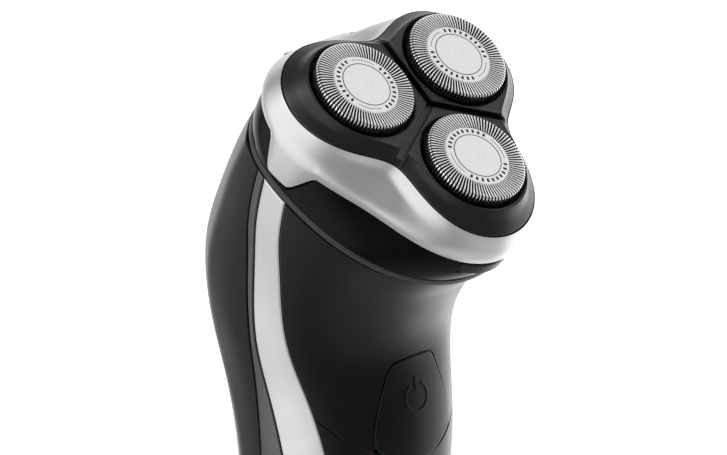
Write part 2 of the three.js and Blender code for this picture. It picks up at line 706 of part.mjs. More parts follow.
const HOLDER_SKIRT = 8.4;
const CEILING = 4.4;
const holderBlank = loft([
  headLoop(faceRadius, FACE_DEPTH, LOBES),
  headLoop(shoulderRadius, shoulderDepth, LOBES),
  headLoop((angle) => holderRadius(angle) - GAP, holderDepth, LOBES),
  headLoop((angle) => holderRadius(angle) - GAP, HOLDER_SKIRT, LOBES),
]);
const holderInside = loft([
  headLoop((angle) => faceRadius(angle) + 0.3, CEILING, LOBES),
  headLoop((angle) => holderRadius(angle) - 1.9, (angle) => holderDepth(angle) + 1, LOBES),
  headLoop((angle) => holderRadius(angle) - 1.9, HOLDER_SKIRT + 1, LOBES),
]);
const GROOVE_HALF = 0.9;
const grooves = [60, 180, 300].map((degrees) => block([-GROOVE_HALF, -24, -FACE_DEPTH - 1.3],
  [GROOVE_HALF, 0, 0]).rotateZ(degrees * RAD));
const holes = CAPS.map((index) => spindleHole(index, CAP_HOLE, 0, CEILING + 1));
add(head, 'head_holder', cut(holderBlank, holderInside, ...grooves, ...holes), SATIN_BLACK());

const CUTTER_BLADES = 9;
const FRAME_TOP = 7.7;
const FRAME_BOTTOM = 9.3;
const framePlate = join(rod(7, -FRAME_BOTTOM, -FRAME_TOP, 20),
  ...CAPS.map((index) => spindleHole(index, 12.4, FRAME_TOP, FRAME_BOTTOM)));
add(head, 'retaining_frame', cut(framePlate,
  rod(2.3, -FRAME_BOTTOM - 1, -FRAME_TOP + 1, 20),
  ...CAPS.map((index) => spindleHole(index, 5.4, FRAME_TOP - 1, FRAME_BOTTOM + 1))), GREY_PLASTIC());

add(head, 'lock_knob', join(rod(4.6, -12, -FRAME_BOTTOM - GAP, 24), rod(2, -10, -CEILING - 1.2, 20),
  block([-4, -1, -14.6], [4, 1, -11.5])), WHITE_NYLON());

for (const index of CAPS) {
  const { x, y } = capCentre(index);
  const cap = turned([[0, -0.9], [10.4, -0.9], [10.4, -5.7], [12.5, -5.7], [12.5, -4.8], [CAP_RADIUS, -4.8],
    [CAP_RADIUS, 0], [7.8, 0], [7.8, -0.55], [0, -0.55]], 24);
  add(head, `shaving_cap_${index + 1}`, cap.translate(x, y, 0), CAP_STEEL());
  add(head, `cap_disc_${index + 1}`, rod(7.5, -0.42, -0.1, 24).translate(x, y, 0), CAP_STEEL());
  const wheel = turned([[0, -7], [2.6, -7], [2.6, -11], [4, -11], [4, -3.4], [9.6, -3.4], [9.6, -2.4],
    [0, -2.4]], 16);
  const blade = () => block([6.4, -0.35, -2.8], [9.2, 0.35, -1.25]);
  const blades = Array.from({ length: CUTTER_BLADES },
    (_, i) => blade().rotateZ(i * 2 * Math.PI / CUTTER_BLADES));
  add(head, `cutter_${index + 1}`, join(wheel, ...blades).translate(x, y, 0), BLADE_STEEL());
}

// ---------------------------------------------------------------- pop-up trimmer

const TRIMMER_PIN = 0.7;
const COMB_LOW = 121.4;
const COMB_HALF = 11;
const trimmerAxle = (radius, half) => rod(radius, -half, half, 12).rotateY(Math.PI / 2)
  .translate(0, TRIMMER_AXIS_Y, TRIMMER_AXIS_Z);
const trimmerSkin = cut(handleSolid(0, 0.55, 0.98, 14), handleSolid(4.2, 0.5, 0.99, 14));
const combSeat = block([-COMB_HALF - GAP, 8, COMB_LOW - GAP], [COMB_HALF + GAP, 40, TRIMMER_HIGH + 1]);
add(shaver, 'trimmer_housing', cut(common(trimmerSkin, trimmerPrism(0, 0)), combSeat,
  trimmerAxle(TRIMMER_PIN + GAP, 20)), SATIN_BLACK());
add(shaver, 'trimmer_pin', trimmerAxle(TRIMMER_PIN, TRIMMER_HALF), BLADE_STEEL());

// A toothed plate whose teeth point up, lying along the handle's back.
function combPlate(half, low, high, teeth, thickness) {
  const shape = new THREE.Shape();
  const pitch = 2 * half / teeth;
  const root = high - 2;
  shape.moveTo(-half, low);
  for (let i = 0; i < teeth; i++) {
    const left = -half + i * pitch;
    shape.lineTo(left, root);
    shape.lineTo(left + 0.25 * pitch, high);
    shape.lineTo(left + 0.55 * pitch, high);
    shape.lineTo(left + 0.8 * pitch, root);
  }
  shape.lineTo(half, low);
  shape.closePath();
  return new THREE.ExtrudeGeometry(shape, { depth: thickness, bevelEnabled: false }).rotateX(Math.PI / 2);
}

const trimmerLean = 33 * RAD;   // lean of the back at the comb
const COMB_Y = 21.4;
const PLATES = [['trimmer_comb', 14, 0, COMB_HALF, -2], ['trimmer_blade', 12, -1.3, 9, -1.2]];
for (const [name, teeth, offset, half, low] of PLATES) {
  add(shaver, name, combPlate(half, low, 2.6, teeth, 0.8).rotateX(trimmerLean)
    .translate(0, COMB_Y + offset * Math.cos(trimmerLean), COMB_LOW + 2.2 + offset * Math.sin(trimmerLean)),
  BLADE_STEEL());
}

// The slider rides on the back shell: a ridged pad outside, a stem through the slot.
const sliderPad = common(cut(handleSolid(-1.2, 0.4, 0.8, 12), handleSolid(-0.35, 0.35, 0.85, 12)),
  block([-SLIDER_HALF, 8, SLIDER_LOW], [SLIDER_HALF, 60, SLIDER_HIGH]));
const sliderStem = block([-2.5, 22, SLIDER_LOW + 2.2], [2.5, 29.6, SLIDER_HIGH - 2.2]);
add(shaver, 'trimmer_slider', join(sliderPad, sliderStem), GREY_PLASTIC());

export default shaver;
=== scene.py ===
import math

import bmesh
import bpy
import numpy as np
from mathutils import Matrix, Vector
from mathutils.geometry import delaunay_2d_cdt
from mathutils.kdtree import KDTree


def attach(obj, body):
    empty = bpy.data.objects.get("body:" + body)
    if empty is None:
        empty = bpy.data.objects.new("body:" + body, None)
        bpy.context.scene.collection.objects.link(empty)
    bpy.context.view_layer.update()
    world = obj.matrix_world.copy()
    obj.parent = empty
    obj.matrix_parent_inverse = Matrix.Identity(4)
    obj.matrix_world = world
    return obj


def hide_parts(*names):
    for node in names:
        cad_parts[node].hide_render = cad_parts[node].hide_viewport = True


# Looks of the rotary shaver. Shapes are worked out in millimetres, in the frame of the CAD part,
# and turned into metres where a piece is made.

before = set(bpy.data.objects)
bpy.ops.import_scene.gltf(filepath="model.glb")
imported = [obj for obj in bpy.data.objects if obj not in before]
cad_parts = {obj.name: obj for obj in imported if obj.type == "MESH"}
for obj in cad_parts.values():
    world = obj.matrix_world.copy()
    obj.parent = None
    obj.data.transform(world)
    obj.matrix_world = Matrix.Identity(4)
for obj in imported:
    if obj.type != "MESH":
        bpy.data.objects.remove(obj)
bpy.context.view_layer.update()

# ---------------------------------------------------------------- driving dimensions, millimetres

MM = 0.001
GAP = 0.26                      # visible gap between mouldings
WALL = 1.8
HEAD_TILT = math.radians(37)
HEAD_CENTRE = np.array([0.0, -27.0, 143.0])
CAP_PITCH = 27.3
CAP_ORBIT = CAP_PITCH / math.sqrt(3)
CAP_RADIUS = 11.2
CAP_HOLE = 12.1
BASE_HEIGHT = 9

# Sections of the handle: front y, front z, back y, back z, half width, share of depth in front.
STATIONS = np.array([
    [-17.2, 0, 17.2, 0, 17.6, 0.5],
    [-19.6, 4, 19.8, 4, 20, 0.5],
    [-21.2, 24, 21, 24, 21.2, 0.5],
    [-22.4, 45, 22, 45, 22, 0.5],
    [-23.3, 62, 23.6, 62, 23.2, 0.5],
    [-21.8, 75, 26.4, 77, 24.6, 0.5],
    [-21, 84, 29.2, 92, 26.5, 0.5],
    [-23.6, 91.5, 28.9, 107, 27.7, 0.52],
    [-28, 98, 23.2, 120, 28.7, 0.56],
    [-32, 101.8, 16.2, 132, 29.7, 0.6],
    [-38.5, 106.1, 8.9, 141.9, 30.4, 0.646],
])
SWELL = 0.0166                  # how far a section stands outside an ellipse between its axes


# ---------------------------------------------------------------- curves


def spline(knots, values):
    """Natural cubic spline through rows of values at the knots, as a function of an array."""
    knots = np.asarray(knots, float)
    values = np.asarray(values, float)
    spans = np.diff(knots)
    count = len(knots)
    system = np.zeros((count, count))
    system[0, 0] = system[-1, -1] = 1
    right = np.zeros(values.shape)
    for i in range(1, count - 1):
        before, after = spans[i - 1], spans[i]
        system[i, i - 1:i + 2] = before, 2 * (before + after), after
        right[i] = 6 * ((values[i + 1] - values[i]) / after - (values[i] - values[i - 1]) / before)
    bend = np.linalg.solve(system, right)

    def at(x):
        x = np.asarray(x, float)
        i = np.clip(np.searchsorted(knots, x) - 1, 0, count - 2)
        span = spans[i][..., None]
        done = (x - knots[i])[..., None]
        rest = span - done
        cubic = (bend[i] * rest ** 3 + bend[i + 1] * done ** 3) / (6 * span)
        start = (values[i] / span - bend[i] * span / 6) * rest
        end = (values[i + 1] / span - bend[i + 1] * span / 6) * done
        return cubic + start + end

    return at


def smooth(value):
    x = np.clip(value, 0, 1)
    return x * x * (3 - 2 * x)


def mix(a, b, share):
    return a + (b - a) * share


def bezier(a, b, c, d, count):
    """Points of a cubic curve, without its last one."""
    t = np.linspace(0, 1, count, endpoint=False)[:, None]
    a, b, c, d = (np.asarray(p, float) for p in (a, b, c, d))
    return (1 - t) ** 3 * a + 3 * t * (1 - t) ** 2 * b + 3 * t * t * (1 - t) * c + t ** 3 * d


def arc(centre, radius, start, end, count):
    """Points of an arc in a plane, both ends included, with angles in degrees."""
    angles = np.radians(np.linspace(start, end, count))
    return np.asarray(centre) + radius * np.stack([np.cos(angles), np.sin(angles)], -1)


def circle(centre, radius, count):
    return arc(centre, radius, 0, 360, count + 1)[:-1]


def resample(loop, step):
    """The closed loop with points about a step apart, with its corners kept."""
    points = []
    for a, b in zip(loop, np.roll(loop, -1, axis=0)):
        parts = max(1, int(math.ceil(np.linalg.norm(b - a) / step)))
        points.extend(a + (b - a) * i / parts for i in range(parts))
    return np.array(points)


def contains(loop, points):
    """Which points are inside a closed loop."""
    inside = np.zeros(len(points), bool)
    x, y = points[:, 0], points[:, 1]
    for (ax, ay), (bx, by) in zip(loop, np.roll(loop, -1, axis=0)):
        if ay != by:
            crosses = ((ay > y) != (by > y)) & (x < (bx - ax) * (y - ay) / (by - ay) + ax)
            inside ^= crosses
    return inside


# ---------------------------------------------------------------- the handle's surface

MIDDLES = (STATIONS[:, 0:2] + STATIONS[:, 2:4]) / 2
KNOTS = np.append(0, np.cumsum(np.sqrt(np.linalg.norm(np.diff(MIDDLES, axis=0), axis=1))))
knot_at = spline(np.linspace(0, 1, len(STATIONS)), KNOTS[:, None])
station_at = spline(KNOTS, STATIONS)


def section(t):
    return np.moveaxis(station_at(knot_at(t)[..., 0]), -1, 0)


def surface(t, angle, inset=0.0):
    """Points of the handle. t is 0 at the bottom and 1 at the collar; the angle is 0 at the front."""
    front_y, front_z, back_y, back_z, half, share = section(t)
    depth = np.hypot(front_y - back_y, front_z - back_z)
    swell = 1 + SWELL * np.sin(2 * angle) ** 2
    cosine = np.cos(angle)
    reach = (np.where(cosine >= 0, depth * share, depth * (1 - share)) - inset) * cosine * swell
    x = (half - inset) * np.sin(angle) * swell
    y = mix(front_y, back_y, share) + (front_y - back_y) / depth * reach
    z = mix(front_z, back_z, share) + (front_z - back_z) / depth * reach
    return np.stack([x, y, z], -1)


# The surface laid flat: x is the angle times a typical radius, y the mean length along the handle.
FLAT_RADIUS = 24
TABLE_T = np.linspace(0, 1, 800)
TABLE_ROWS = section(TABLE_T)
FRONT_STEPS = np.hypot(np.diff(TABLE_ROWS[0]), np.diff(TABLE_ROWS[1]))
BACK_STEPS = np.hypot(np.diff(TABLE_ROWS[2]), np.diff(TABLE_ROWS[3]))
TABLE_LENGTH = np.append(0, np.cumsum((FRONT_STEPS + BACK_STEPS) / 2))


def to_flat(t, angle):
    t, angle = np.broadcast_arrays(t, angle)
    return np.stack([angle * FLAT_RADIUS, np.interp(t, TABLE_T, TABLE_LENGTH)], -1)


def from_flat(points):
    return np.interp(points[:, 1], TABLE_LENGTH, TABLE_T), points[:, 0] / FLAT_RADIUS


def on_handle(points, inset):
    t, angle = from_flat(points)
    return surface(t, angle, inset)


def at_height(height):
    """The t at which the front profile reaches a height."""
    return np.interp(height, TABLE_ROWS[1], TABLE_T)


def locate(x, z, back=False):
    """Flat points at which the front or back of the handle passes through x and z."""
    x, z = np.broadcast_arrays(np.asarray(x, float), np.asarray(z, float))
    heights = TABLE_ROWS[3] if back else TABLE_ROWS[1]
    t = np.interp(z, heights, TABLE_T)
    slope = np.gradient(TABLE_T, heights)
    for _ in range(25):
        angle = np.arcsin(np.clip(x / section(t)[4], -1, 1))
        angle = np.pi - angle if back else angle
        t = np.clip(t + (z - surface(t, angle)[..., 2]) * np.interp(t, TABLE_T, slope) * 0.7, 0, 1)
    return to_flat(t, angle)


T_BASE = at_height(BASE_HEIGHT)
T_TOP = 0.985


SEAM_KNOTS = [T_BASE, 0.42, 0.56, 0.7, 0.84, 1]


def seam(degrees):
    """A seam's half angle at t, from its degrees at the knots."""
    curve = spline(SEAM_KNOTS, np.radians(degrees)[:, None])
    return lambda t: curve(np.maximum(t, T_BASE))[..., 0]


front_seam = seam([40, 54, 60, 66, 73, 79.5])
trim_seam = seam([62, 79.7, 80.8, 81.3, 86, 90.5])
back_seam = seam([100, 93.8, 85.6, 84.6, 90, 97])


def panel_seam(u):
    """The t of the seam that sags under the power button; u is -1 to 1 across the front."""
    return at_height(60.3 + 11 * u * u)


# ---------------------------------------------------------------- the head's frame and outlines

HEAD_MATRIX = Matrix.Translation(Vector(HEAD_CENTRE) * MM) @ Matrix.Rotation(HEAD_TILT, 4, "X")
HEAD_AXES = np.array([
    [1, 0, 0],
    [0, math.cos(HEAD_TILT), math.sin(HEAD_TILT)],
    [0, -math.sin(HEAD_TILT), math.cos(HEAD_TILT)],
])
ROUND = 540                     # points round each outline of the head
ANGLES = np.linspace(0, 2 * math.pi, ROUND, endpoint=False)


def to_head(points):
    return (points - HEAD_CENTRE) @ HEAD_AXES.T


def threefold(mean, swing, second=0.0):
    return lambda angle: mean + swing * np.cos(3 * angle) + second * np.cos(6 * angle)


face_radius = threefold(23, 5.9, -0.3)
shoulder_radius = threefold(24.2, 6, -0.2)
shoulder_depth = threefold(3.5, 0.5)
holder_radius = threefold(26.6, 6.4, -0.6)
holder_depth = threefold(5.2, 0.9)
crease_radius = threefold(27.3, 6.5, -0.6)
crease_depth = threefold(7.4, 0.2)
wide_radius = threefold(30.5, 4.1)
skirt_radius = threefold(29.9, 3.9)
FACE_DEPTH = 2
WIDE_DEPTH = 10.8


def skirt_depth(angle):
    """Depth of the bezel's lower edge, with a leg on each side."""
    side = np.degrees(np.abs(np.arctan2(np.sin(angle), np.cos(angle))))
    return 13.6 + 6.8 * (smooth((side - 84) / 9) - 1.1 * smooth((side - 101) / 9))


def polar(radius, angle, depth):
    """Points in the head's frame."""
    radius, angle, depth = np.broadcast_arrays(radius, angle, depth)
    return np.stack([radius * np.sin(angle), -radius * np.cos(angle), -depth], -1)


def ring(radius, depth):
    radius = radius(ANGLES) if callable(radius) else radius
    depth = depth(ANGLES) if callable(depth) else depth
    return polar(radius, ANGLES, depth)


def cap_centre(index):
    angle = index * 2 * math.pi / 3
    return np.array([CAP_ORBIT * math.sin(angle), -CAP_ORBIT * math.cos(angle)])


# ---------------------------------------------------------------- shapes: (points, faces)


def merge(*shapes):
    points, faces, start = [], [], 0
    for shape_points, shape_faces in shapes:
        points.append(np.asarray(shape_points, float))
        faces.extend(tuple(i + start for i in face) for face in shape_faces)
        start += len(shape_points)
    return np.concatenate(points), faces


def loft(rings, closed=False, capped=False):
    """Skin over rings of equal length; closed joins the last ring to the first."""
    rings = np.asarray(rings, float)
    count, size = rings.shape[:2]
    faces = []
    for i in range(count if closed else count - 1):
        here, there = i * size, (i + 1) % count * size
        for j in range(size):
            k = (j + 1) % size
            faces.append((here + j, here + k, there + k, there + j))
    if capped:
        faces.append(tuple(range(size))[::-1])
        faces.append(tuple(range((count - 1) * size, count * size)))
    return rings.reshape(-1, 3), faces


def rounded(rings, radii, steps=6, closed=True):
    """The rings with each corner of their profile turned into a curve of about that radius."""
    rings = np.asarray(rings, float)
    result = []
    for i, radius in enumerate(radii):
        here = rings[i]
        if radius == 0 or (not closed and i in (0, len(radii) - 1)):
            result.append(here)
            continue
        before = rings[i - 1] - here
        after = rings[(i + 1) % len(rings)] - here
        reach_before = np.linalg.norm(before, axis=-1, keepdims=True)
        reach_after = np.linalg.norm(after, axis=-1, keepdims=True)
        start = here + before / reach_before * np.minimum(radius, reach_before * 0.48)
        end = here + after / reach_after * np.minimum(radius, reach_after * 0.48)
        for t in np.linspace(0, 1, steps):
            result.append((1 - t) ** 2 * start + 2 * t * (1 - t) * here + t * t * end)
    return np.array(result)


def turned(profile, radius=0.15, segments=96, steps=4):
    """Solid of revolution about Z from [radius, height] pairs that start and end on the axis."""
    angles = np.linspace(0, 2 * math.pi, segments, endpoint=False)
    profile = [(max(r, 0.001), z) for r, z in profile]
    rings = [np.stack([r * np.cos(angles), r * np.sin(angles), np.full(segments, z)], -1)
             for r, z in profile]
    radii = [0] + [radius] * (len(profile) - 2) + [0]
    return loft(rounded(rings, radii, steps, closed=False), capped=True)


def sleeve(corners, radius=0.15, segments=72):
    """A ring about Z with the given [radius, height] corners."""
    angles = np.linspace(0, 2 * math.pi, segments, endpoint=False)
    rings = [np.stack([r * np.cos(angles), r * np.sin(angles), np.full(segments, z)], -1)
             for r, z in corners]
    return loft(rounded(rings, [radius] * len(corners), 4), closed=True)


def tube(outer, inner, low, high, radius=0.15, segments=72):
    return sleeve([(outer, low), (outer, high), (inner, high), (inner, low)], radius, segments)


def box(low, high, radius=0.3, segments=3):
    """A block with rounded edges."""
    work = bmesh.new()
    bmesh.ops.create_cube(work, size=1)
    low, high = np.asarray(low, float), np.asarray(high, float)
    for vertex in work.verts:
        vertex.co = Vector((low + high) / 2 + np.array(vertex.co) * (high - low))
    bmesh.ops.bevel(work, geom=work.edges[:], offset=radius, segments=segments, profile=0.5,
                    affect="EDGES", clamp_overlap=True)
    shape = from_bmesh(work)
    work.free()
    return shape


def from_bmesh(work):
    work.verts.ensure_lookup_table()
    work.verts.index_update()
    points = np.array([vertex.co[:] for vertex in work.verts])
    return points, [tuple(v.index for v in face.verts) for face in work.faces]


def moved(shape, matrix=None, offset=(0, 0, 0)):
    points, faces = shape
    if matrix is not None:
        points = points @ np.array(matrix.to_3x3()).T
    return points + np.asarray(offset, float), faces


def triangulate(points, edges, inside):
    """Delaunay triangles of flat points, with the edges kept, whose middles are inside."""
    result = delaunay_2d_cdt([Vector(p) for p in points], edges, [], 0, 1e-7)
    flat = np.array([v[:] for v in result[0]])
    faces = np.array(result[2])
    middles = flat[faces].mean(axis=1)
    return flat, faces[inside(middles)]


def plate(loops, inside, place, spacing, wall, roll=0.15, lines=(), relief=None, step=0.4):
    """A plate over a flat region, put in space by place(flat points, inset), with rolled edges.

    The region is inside() and bounded by the loops. lines are flat polylines that the mesh has
    to follow, and relief gives extra inset at flat points. wall is the inset of the back.
    """
    borders, normals, kept, edges = [], [], [], []

    def chain(points, closed):
        start = sum(len(k) for k in kept)
        kept.append(points)
        edges.extend((start + i, start + i + 1) for i in range(len(points) - 1))
        if closed:
            edges.append((start + len(points) - 1, start))

    for loop in loops:
        points = resample(np.asarray(loop, float), step)
        chain(points, True)
        along = np.roll(points, -1, axis=0) - np.roll(points, 1, axis=0)
        normal = np.stack([-along[:, 1], along[:, 0]], -1)
        normal /= np.linalg.norm(normal, axis=1, keepdims=True) + 1e-12
        ahead = inside(points + normal * 0.05)
        behind = inside(points - normal * 0.05)
        border = ahead != behind
        borders.append(points[border])
        normals.append((normal * np.where(ahead, 1, -1)[:, None])[border])
    borders, normals = np.concatenate(borders), np.concatenate(normals)
    tree = KDTree(len(borders))
    for i, (x, y) in enumerate(borders):
        tree.insert((x, y, 0), i)
    tree.balance()

    def distance(points):
        return np.array([tree.find((x, y, 0))[2] for x, y in points])

    for share in (0.12, 0.3, 0.55, 0.8, 1.0, 1.6) if roll else ():
        offset = borders + normals * roll * share
        good = inside(offset)
        good[good] = distance(offset[good]) > roll * share * 0.97
        kept.append(offset[good])
    for line in lines:
        chain(np.asarray(line, float), False)
    low, high = borders.min(axis=0), borders.max(axis=0)
    rows = np.arange(low[1], high[1], spacing * math.sqrt(3) / 2)
    columns = np.arange(low[0], high[0], spacing)
    grid = np.array([(x + spacing / 2 * (i % 2), y) for i, y in enumerate(rows) for x in columns])
    grid = grid[inside(grid)]
    grid = grid[distance(grid) > roll * 1.6 + spacing * 0.4]
    if len(lines):
        follow = KDTree(sum(len(line) for line in lines))
        for i, (x, y) in enumerate(np.concatenate(lines)):
            follow.insert((x, y, 0), i)
        follow.balance()
        near = np.array([follow.find((x, y, 0))[2] for x, y in grid])
        grid = grid[near > spacing * 0.45]
    kept.append(grid)
    flat, faces = triangulate(np.concatenate(kept), edges, inside)
    used, faces = np.unique(faces, return_inverse=True)
    flat, faces = flat[used], faces.reshape(-1, 3)
    inset = np.zeros(len(flat))
    if roll:
        rest = np.clip(roll - distance(flat), 0, roll)
        inset = roll - np.sqrt(roll ** 2 - rest ** 2)
    if relief is not None:
        inset = inset + relief(flat)
    back = wall(flat) if callable(wall) else wall
    count = len(flat)
    points = np.concatenate([place(flat, inset), place(flat, back)])
    sides = {}
    for a, b, c in faces:
        for edge in ((a, b), (b, c), (c, a)):
            if edge[::-1] in sides:
                del sides[edge[::-1]]
            else:
                sides[edge] = True
    shape = [tuple(face) for face in faces]
    shape += [(c + count, b + count, a + count) for a, b, c in faces]
    shape += [(b, a, a + count, b + count) for a, b in sides]
    return points, [tuple(int(i) for i in face) for face in shape]


# ---------------------------------------------------------------- pieces


def make_piece(node, shape, body, look, matrix=None, sharp=40, name=None):
    """A Blender object in place of a CAD node, riding on its body."""
    points, faces = shape
    mesh = bpy.data.meshes.new(name or f"{node}_surface")
    mesh.from_pydata((points * MM).tolist(), [], faces)
    work = bmesh.new()
    work.from_mesh(mesh)
    bmesh.ops.remove_doubles(work, verts=work.verts, dist=1e-7)
    bmesh.ops.recalc_face_normals(work, faces=work.faces)
    work.to_mesh(mesh)
    work.free()
    mesh.polygons.foreach_set("use_smooth", [True] * len(mesh.polygons))
    mesh.set_sharp_from_angle(angle=math.radians(sharp))
    piece = bpy.data.objects.new(mesh.name, mesh)
    bpy.context.scene.collection.objects.link(piece)
    mesh.materials.append(look)
    if matrix is not None:
        piece.matrix_world = matrix
    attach(piece, body)
    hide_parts(node)
    return piece


def boolean(shape, tool, operation="DIFFERENCE"):
    """One shape cut by, joined to or limited by another."""
    objects = []
    for points, faces in (shape, tool):
        mesh = bpy.data.meshes.new("work")
        mesh.from_pydata(points.tolist(), [], faces)
        work = bmesh.new()
        work.from_mesh(mesh)
        bmesh.ops.recalc_face_normals(work, faces=work.faces)
        work.to_mesh(mesh)
        work.free()
        item = bpy.data.objects.new("work", mesh)
        bpy.context.scene.collection.objects.link(item)
        objects.append(item)
    base, cutter = objects
    step = base.modifiers.new("cut", "BOOLEAN")
    step.object = cutter
    step.operation = operation
    step.solver = "EXACT"
    graph = bpy.context.evaluated_depsgraph_get()
    made = base.evaluated_get(graph).to_mesh()
    points = np.array([v.co[:] for v in made.vertices])
    faces = [tuple(p.vertices) for p in made.polygons]
    for item in objects:
        mesh = item.data
        bpy.data.objects.remove(item)
        bpy.data.meshes.remove(mesh)
    return points, faces


def rolled(shape, width, segments=3, angle=35):
    """A shape with its sharp edges bevelled."""
    points, faces = shape
    mesh = bpy.data.meshes.new("work")
    mesh.from_pydata(points.tolist(), [], faces)
    work = bmesh.new()
    work.from_mesh(mesh)
    bmesh.ops.remove_doubles(work, verts=work.verts, dist=1e-4)
    bmesh.ops.recalc_face_normals(work, faces=work.faces)
    bmesh.ops.dissolve_limit(work, angle_limit=math.radians(1), verts=work.verts, edges=work.edges)
    sharp = [e for e in work.edges if e.is_manifold and e.calc_face_angle() > math.radians(angle)]
    bmesh.ops.bevel(work, geom=sharp, offset=width, segments=segments, profile=0.5,
                    affect="EDGES", clamp_overlap=True)
    shape = from_bmesh(work)
    work.free()
    bpy.data.meshes.remove(mesh)
    return shape


# ---------------------------------------------------------------- materials


class Look:
    """A principled material and the nodes that vary it."""

    def __init__(self, name, colour, roughness, metallic=0.0, specular=0.5, coat=0.0):
        self.material = bpy.data.materials.new(name)
        self.material.use_nodes = True
        self.nodes = self.material.node_tree.nodes
        self.links = self.material.node_tree.links
        self.shader = self.nodes["Principled BSDF"]
        self.shader.inputs["Base Color"].default_value = (*colour, 1)
        self.shader.inputs["Roughness"].default_value = roughness
        self.shader.inputs["Metallic"].default_value = metallic
        self.shader.inputs["Specular IOR Level"].default_value = specular
        self.shader.inputs["Coat Weight"].default_value = coat
        self.shader.inputs["Coat Roughness"].default_value = 0.04
        self.place = self.nodes.new("ShaderNodeTexCoord").outputs["Object"]
        self.colour = colour
        self.roughness = roughness
        self.height = None

    def math(self, operation, *values):
        node = self.nodes.new("ShaderNodeMath")
        node.operation = operation
        for socket, value in zip(node.inputs, values):
            if isinstance(value, (int, float)):
                socket.default_value = value
            else:
                self.links.new(value, socket)
        return node.outputs[0]

    def scaled(self, scale, source=None):
        node = self.nodes.new("ShaderNodeMapping")
        node.inputs["Scale"].default_value = scale
        self.links.new(source or self.place, node.inputs["Vector"])
        return node.outputs[0]

    def noise(self, size, detail=3.0, stretch=(1, 1, 1), source=None):
        """Noise whose features are about this many millimetres across."""
        node = self.nodes.new("ShaderNodeTexNoise")
        node.inputs["Scale"].default_value = 1.0
        node.inputs["Detail"].default_value = detail
        scale = tuple(s / (size * MM) for s in stretch)
        self.links.new(self.scaled(scale, source), node.inputs["Vector"])
        return node.outputs["Fac"]

    def ramp(self, source, low, high, start=0.3, end=0.7):
        node = self.nodes.new("ShaderNodeMapRange")
        node.inputs["From Min"].default_value = start
        node.inputs["From Max"].default_value = end
        node.inputs["To Min"].default_value = low
        node.inputs["To Max"].default_value = high
        self.links.new(source, node.inputs["Value"])
        return node.outputs[0]

    def vary_roughness(self, source, swing):
        value = self.ramp(source, self.roughness - swing, self.roughness + swing)
        self.links.new(value, self.shader.inputs["Roughness"])

    def vary_colour(self, source, other):
        node = self.nodes.new("ShaderNodeMix")
        node.data_type = "RGBA"
        node.inputs[6].default_value = (*self.colour, 1)
        node.inputs[7].default_value = (*other, 1)
        self.links.new(source, node.inputs[0])
        self.links.new(node.outputs[2], self.shader.inputs["Base Color"])

    def bump(self, source, depth, strength=1.0):
        """Relief of this many millimetres from a source that runs from 0 to 1."""
        node = self.nodes.new("ShaderNodeBump")
        node.inputs["Distance"].default_value = depth * MM
        node.inputs["Strength"].default_value = strength
        self.links.new(source, node.inputs["Height"])
        if self.height is not None:
            self.links.new(self.height, node.inputs["Normal"])
        self.height = node.outputs[0]
        self.links.new(self.height, self.shader.inputs["Normal"])

    def polar(self):
        """Angle and radius about the piece's own Z axis, as a vector in metres."""
        split = self.nodes.new("ShaderNodeSeparateXYZ")
        self.links.new(self.place, split.inputs[0])
        x, y, z = split.outputs
        angle = self.math("ARCTAN2", y, x)
        squares = self.math("ADD", self.math("MULTIPLY", x, x), self.math("MULTIPLY", y, y))
        radius = self.math("SQRT", squares)
        join = self.nodes.new("ShaderNodeCombineXYZ")
        self.links.new(self.math("MULTIPLY", angle, 0.01), join.inputs[0])
        self.links.new(radius, join.inputs[1])
        self.links.new(z, join.inputs[2])
        return join.outputs[0]


def satin_black(name="satin_black", specular=0.22, sheen=0.65):
    """Moulded black plastic with a fine spark-eroded grain that turns grey at a glancing angle."""
    look = Look(name, (0.0016, 0.0015, 0.0016), 0.34, specular=specular)
    look.shader.inputs["Sheen Weight"].default_value = sheen
    look.shader.inputs["Sheen Roughness"].default_value = 0.3
    look.shader.inputs["Sheen Tint"].default_value = (1, 0.95, 0.97, 1)
    look.vary_roughness(look.noise(9, 4), 0.045)
    look.vary_colour(look.ramp(look.noise(3, 5), 0, 0.6), (0.0035, 0.0033, 0.0035))
    look.bump(look.noise(0.16, 2), 0.0022)
    return look.material


def gloss_black(name="gloss_black", specular=0.1, coat=0.05):
    """Lacquered black plastic with a trace of orange peel and fine wipe marks."""
    look = Look(name, (0.0015, 0.002, 0.0025), 0.09, specular=specular, coat=coat)
    look.vary_roughness(look.noise(6, 5), 0.03)
    look.vary_colour(look.ramp(look.noise(2, 4), 0, 0.5), (0.003, 0.0035, 0.004))
    look.bump(look.noise(1.6, 2), 0.0012)
    return look.material


def satin_silver():
    """Silver paint: fine metal flake in a satin finish."""
    look = Look("satin_silver", (0.64, 0.65, 0.665), 0.34, metallic=0.85, specular=0.5)
    flake = look.noise(0.05, 1)
    look.vary_roughness(look.noise(5, 4), 0.04)
    look.vary_colour(look.ramp(flake, 0, 1), (0.72, 0.73, 0.74))
    look.bump(flake, 0.0009)
    return look.material


def turned_steel(name, colour, roughness, shade=0.82, depth=0.0006):
    """Bright steel with fine rings left by turning."""
    look = Look(name, colour, roughness, metallic=1.0)
    rings = look.noise(0.09, 3, (0.02, 1, 1), look.polar())
    look.vary_roughness(rings, 0.06)
    look.vary_colour(look.ramp(rings, 0, 0.7), tuple(c * shade for c in colour))
    look.bump(rings, depth)
    return look.material


def plain_steel(name="blade_steel", colour=(0.52, 0.53, 0.54), roughness=0.28):
    """Ground steel with short scratches."""
    look = Look(name, colour, roughness, metallic=1.0)
    grind = look.noise(0.12, 3, (1, 0.05, 1))
    look.vary_roughness(grind, 0.07)
    look.vary_colour(look.ramp(look.noise(1.5, 4), 0, 0.6), tuple(c * 0.8 for c in colour))
    look.bump(grind, 0.0008)
    return look.material


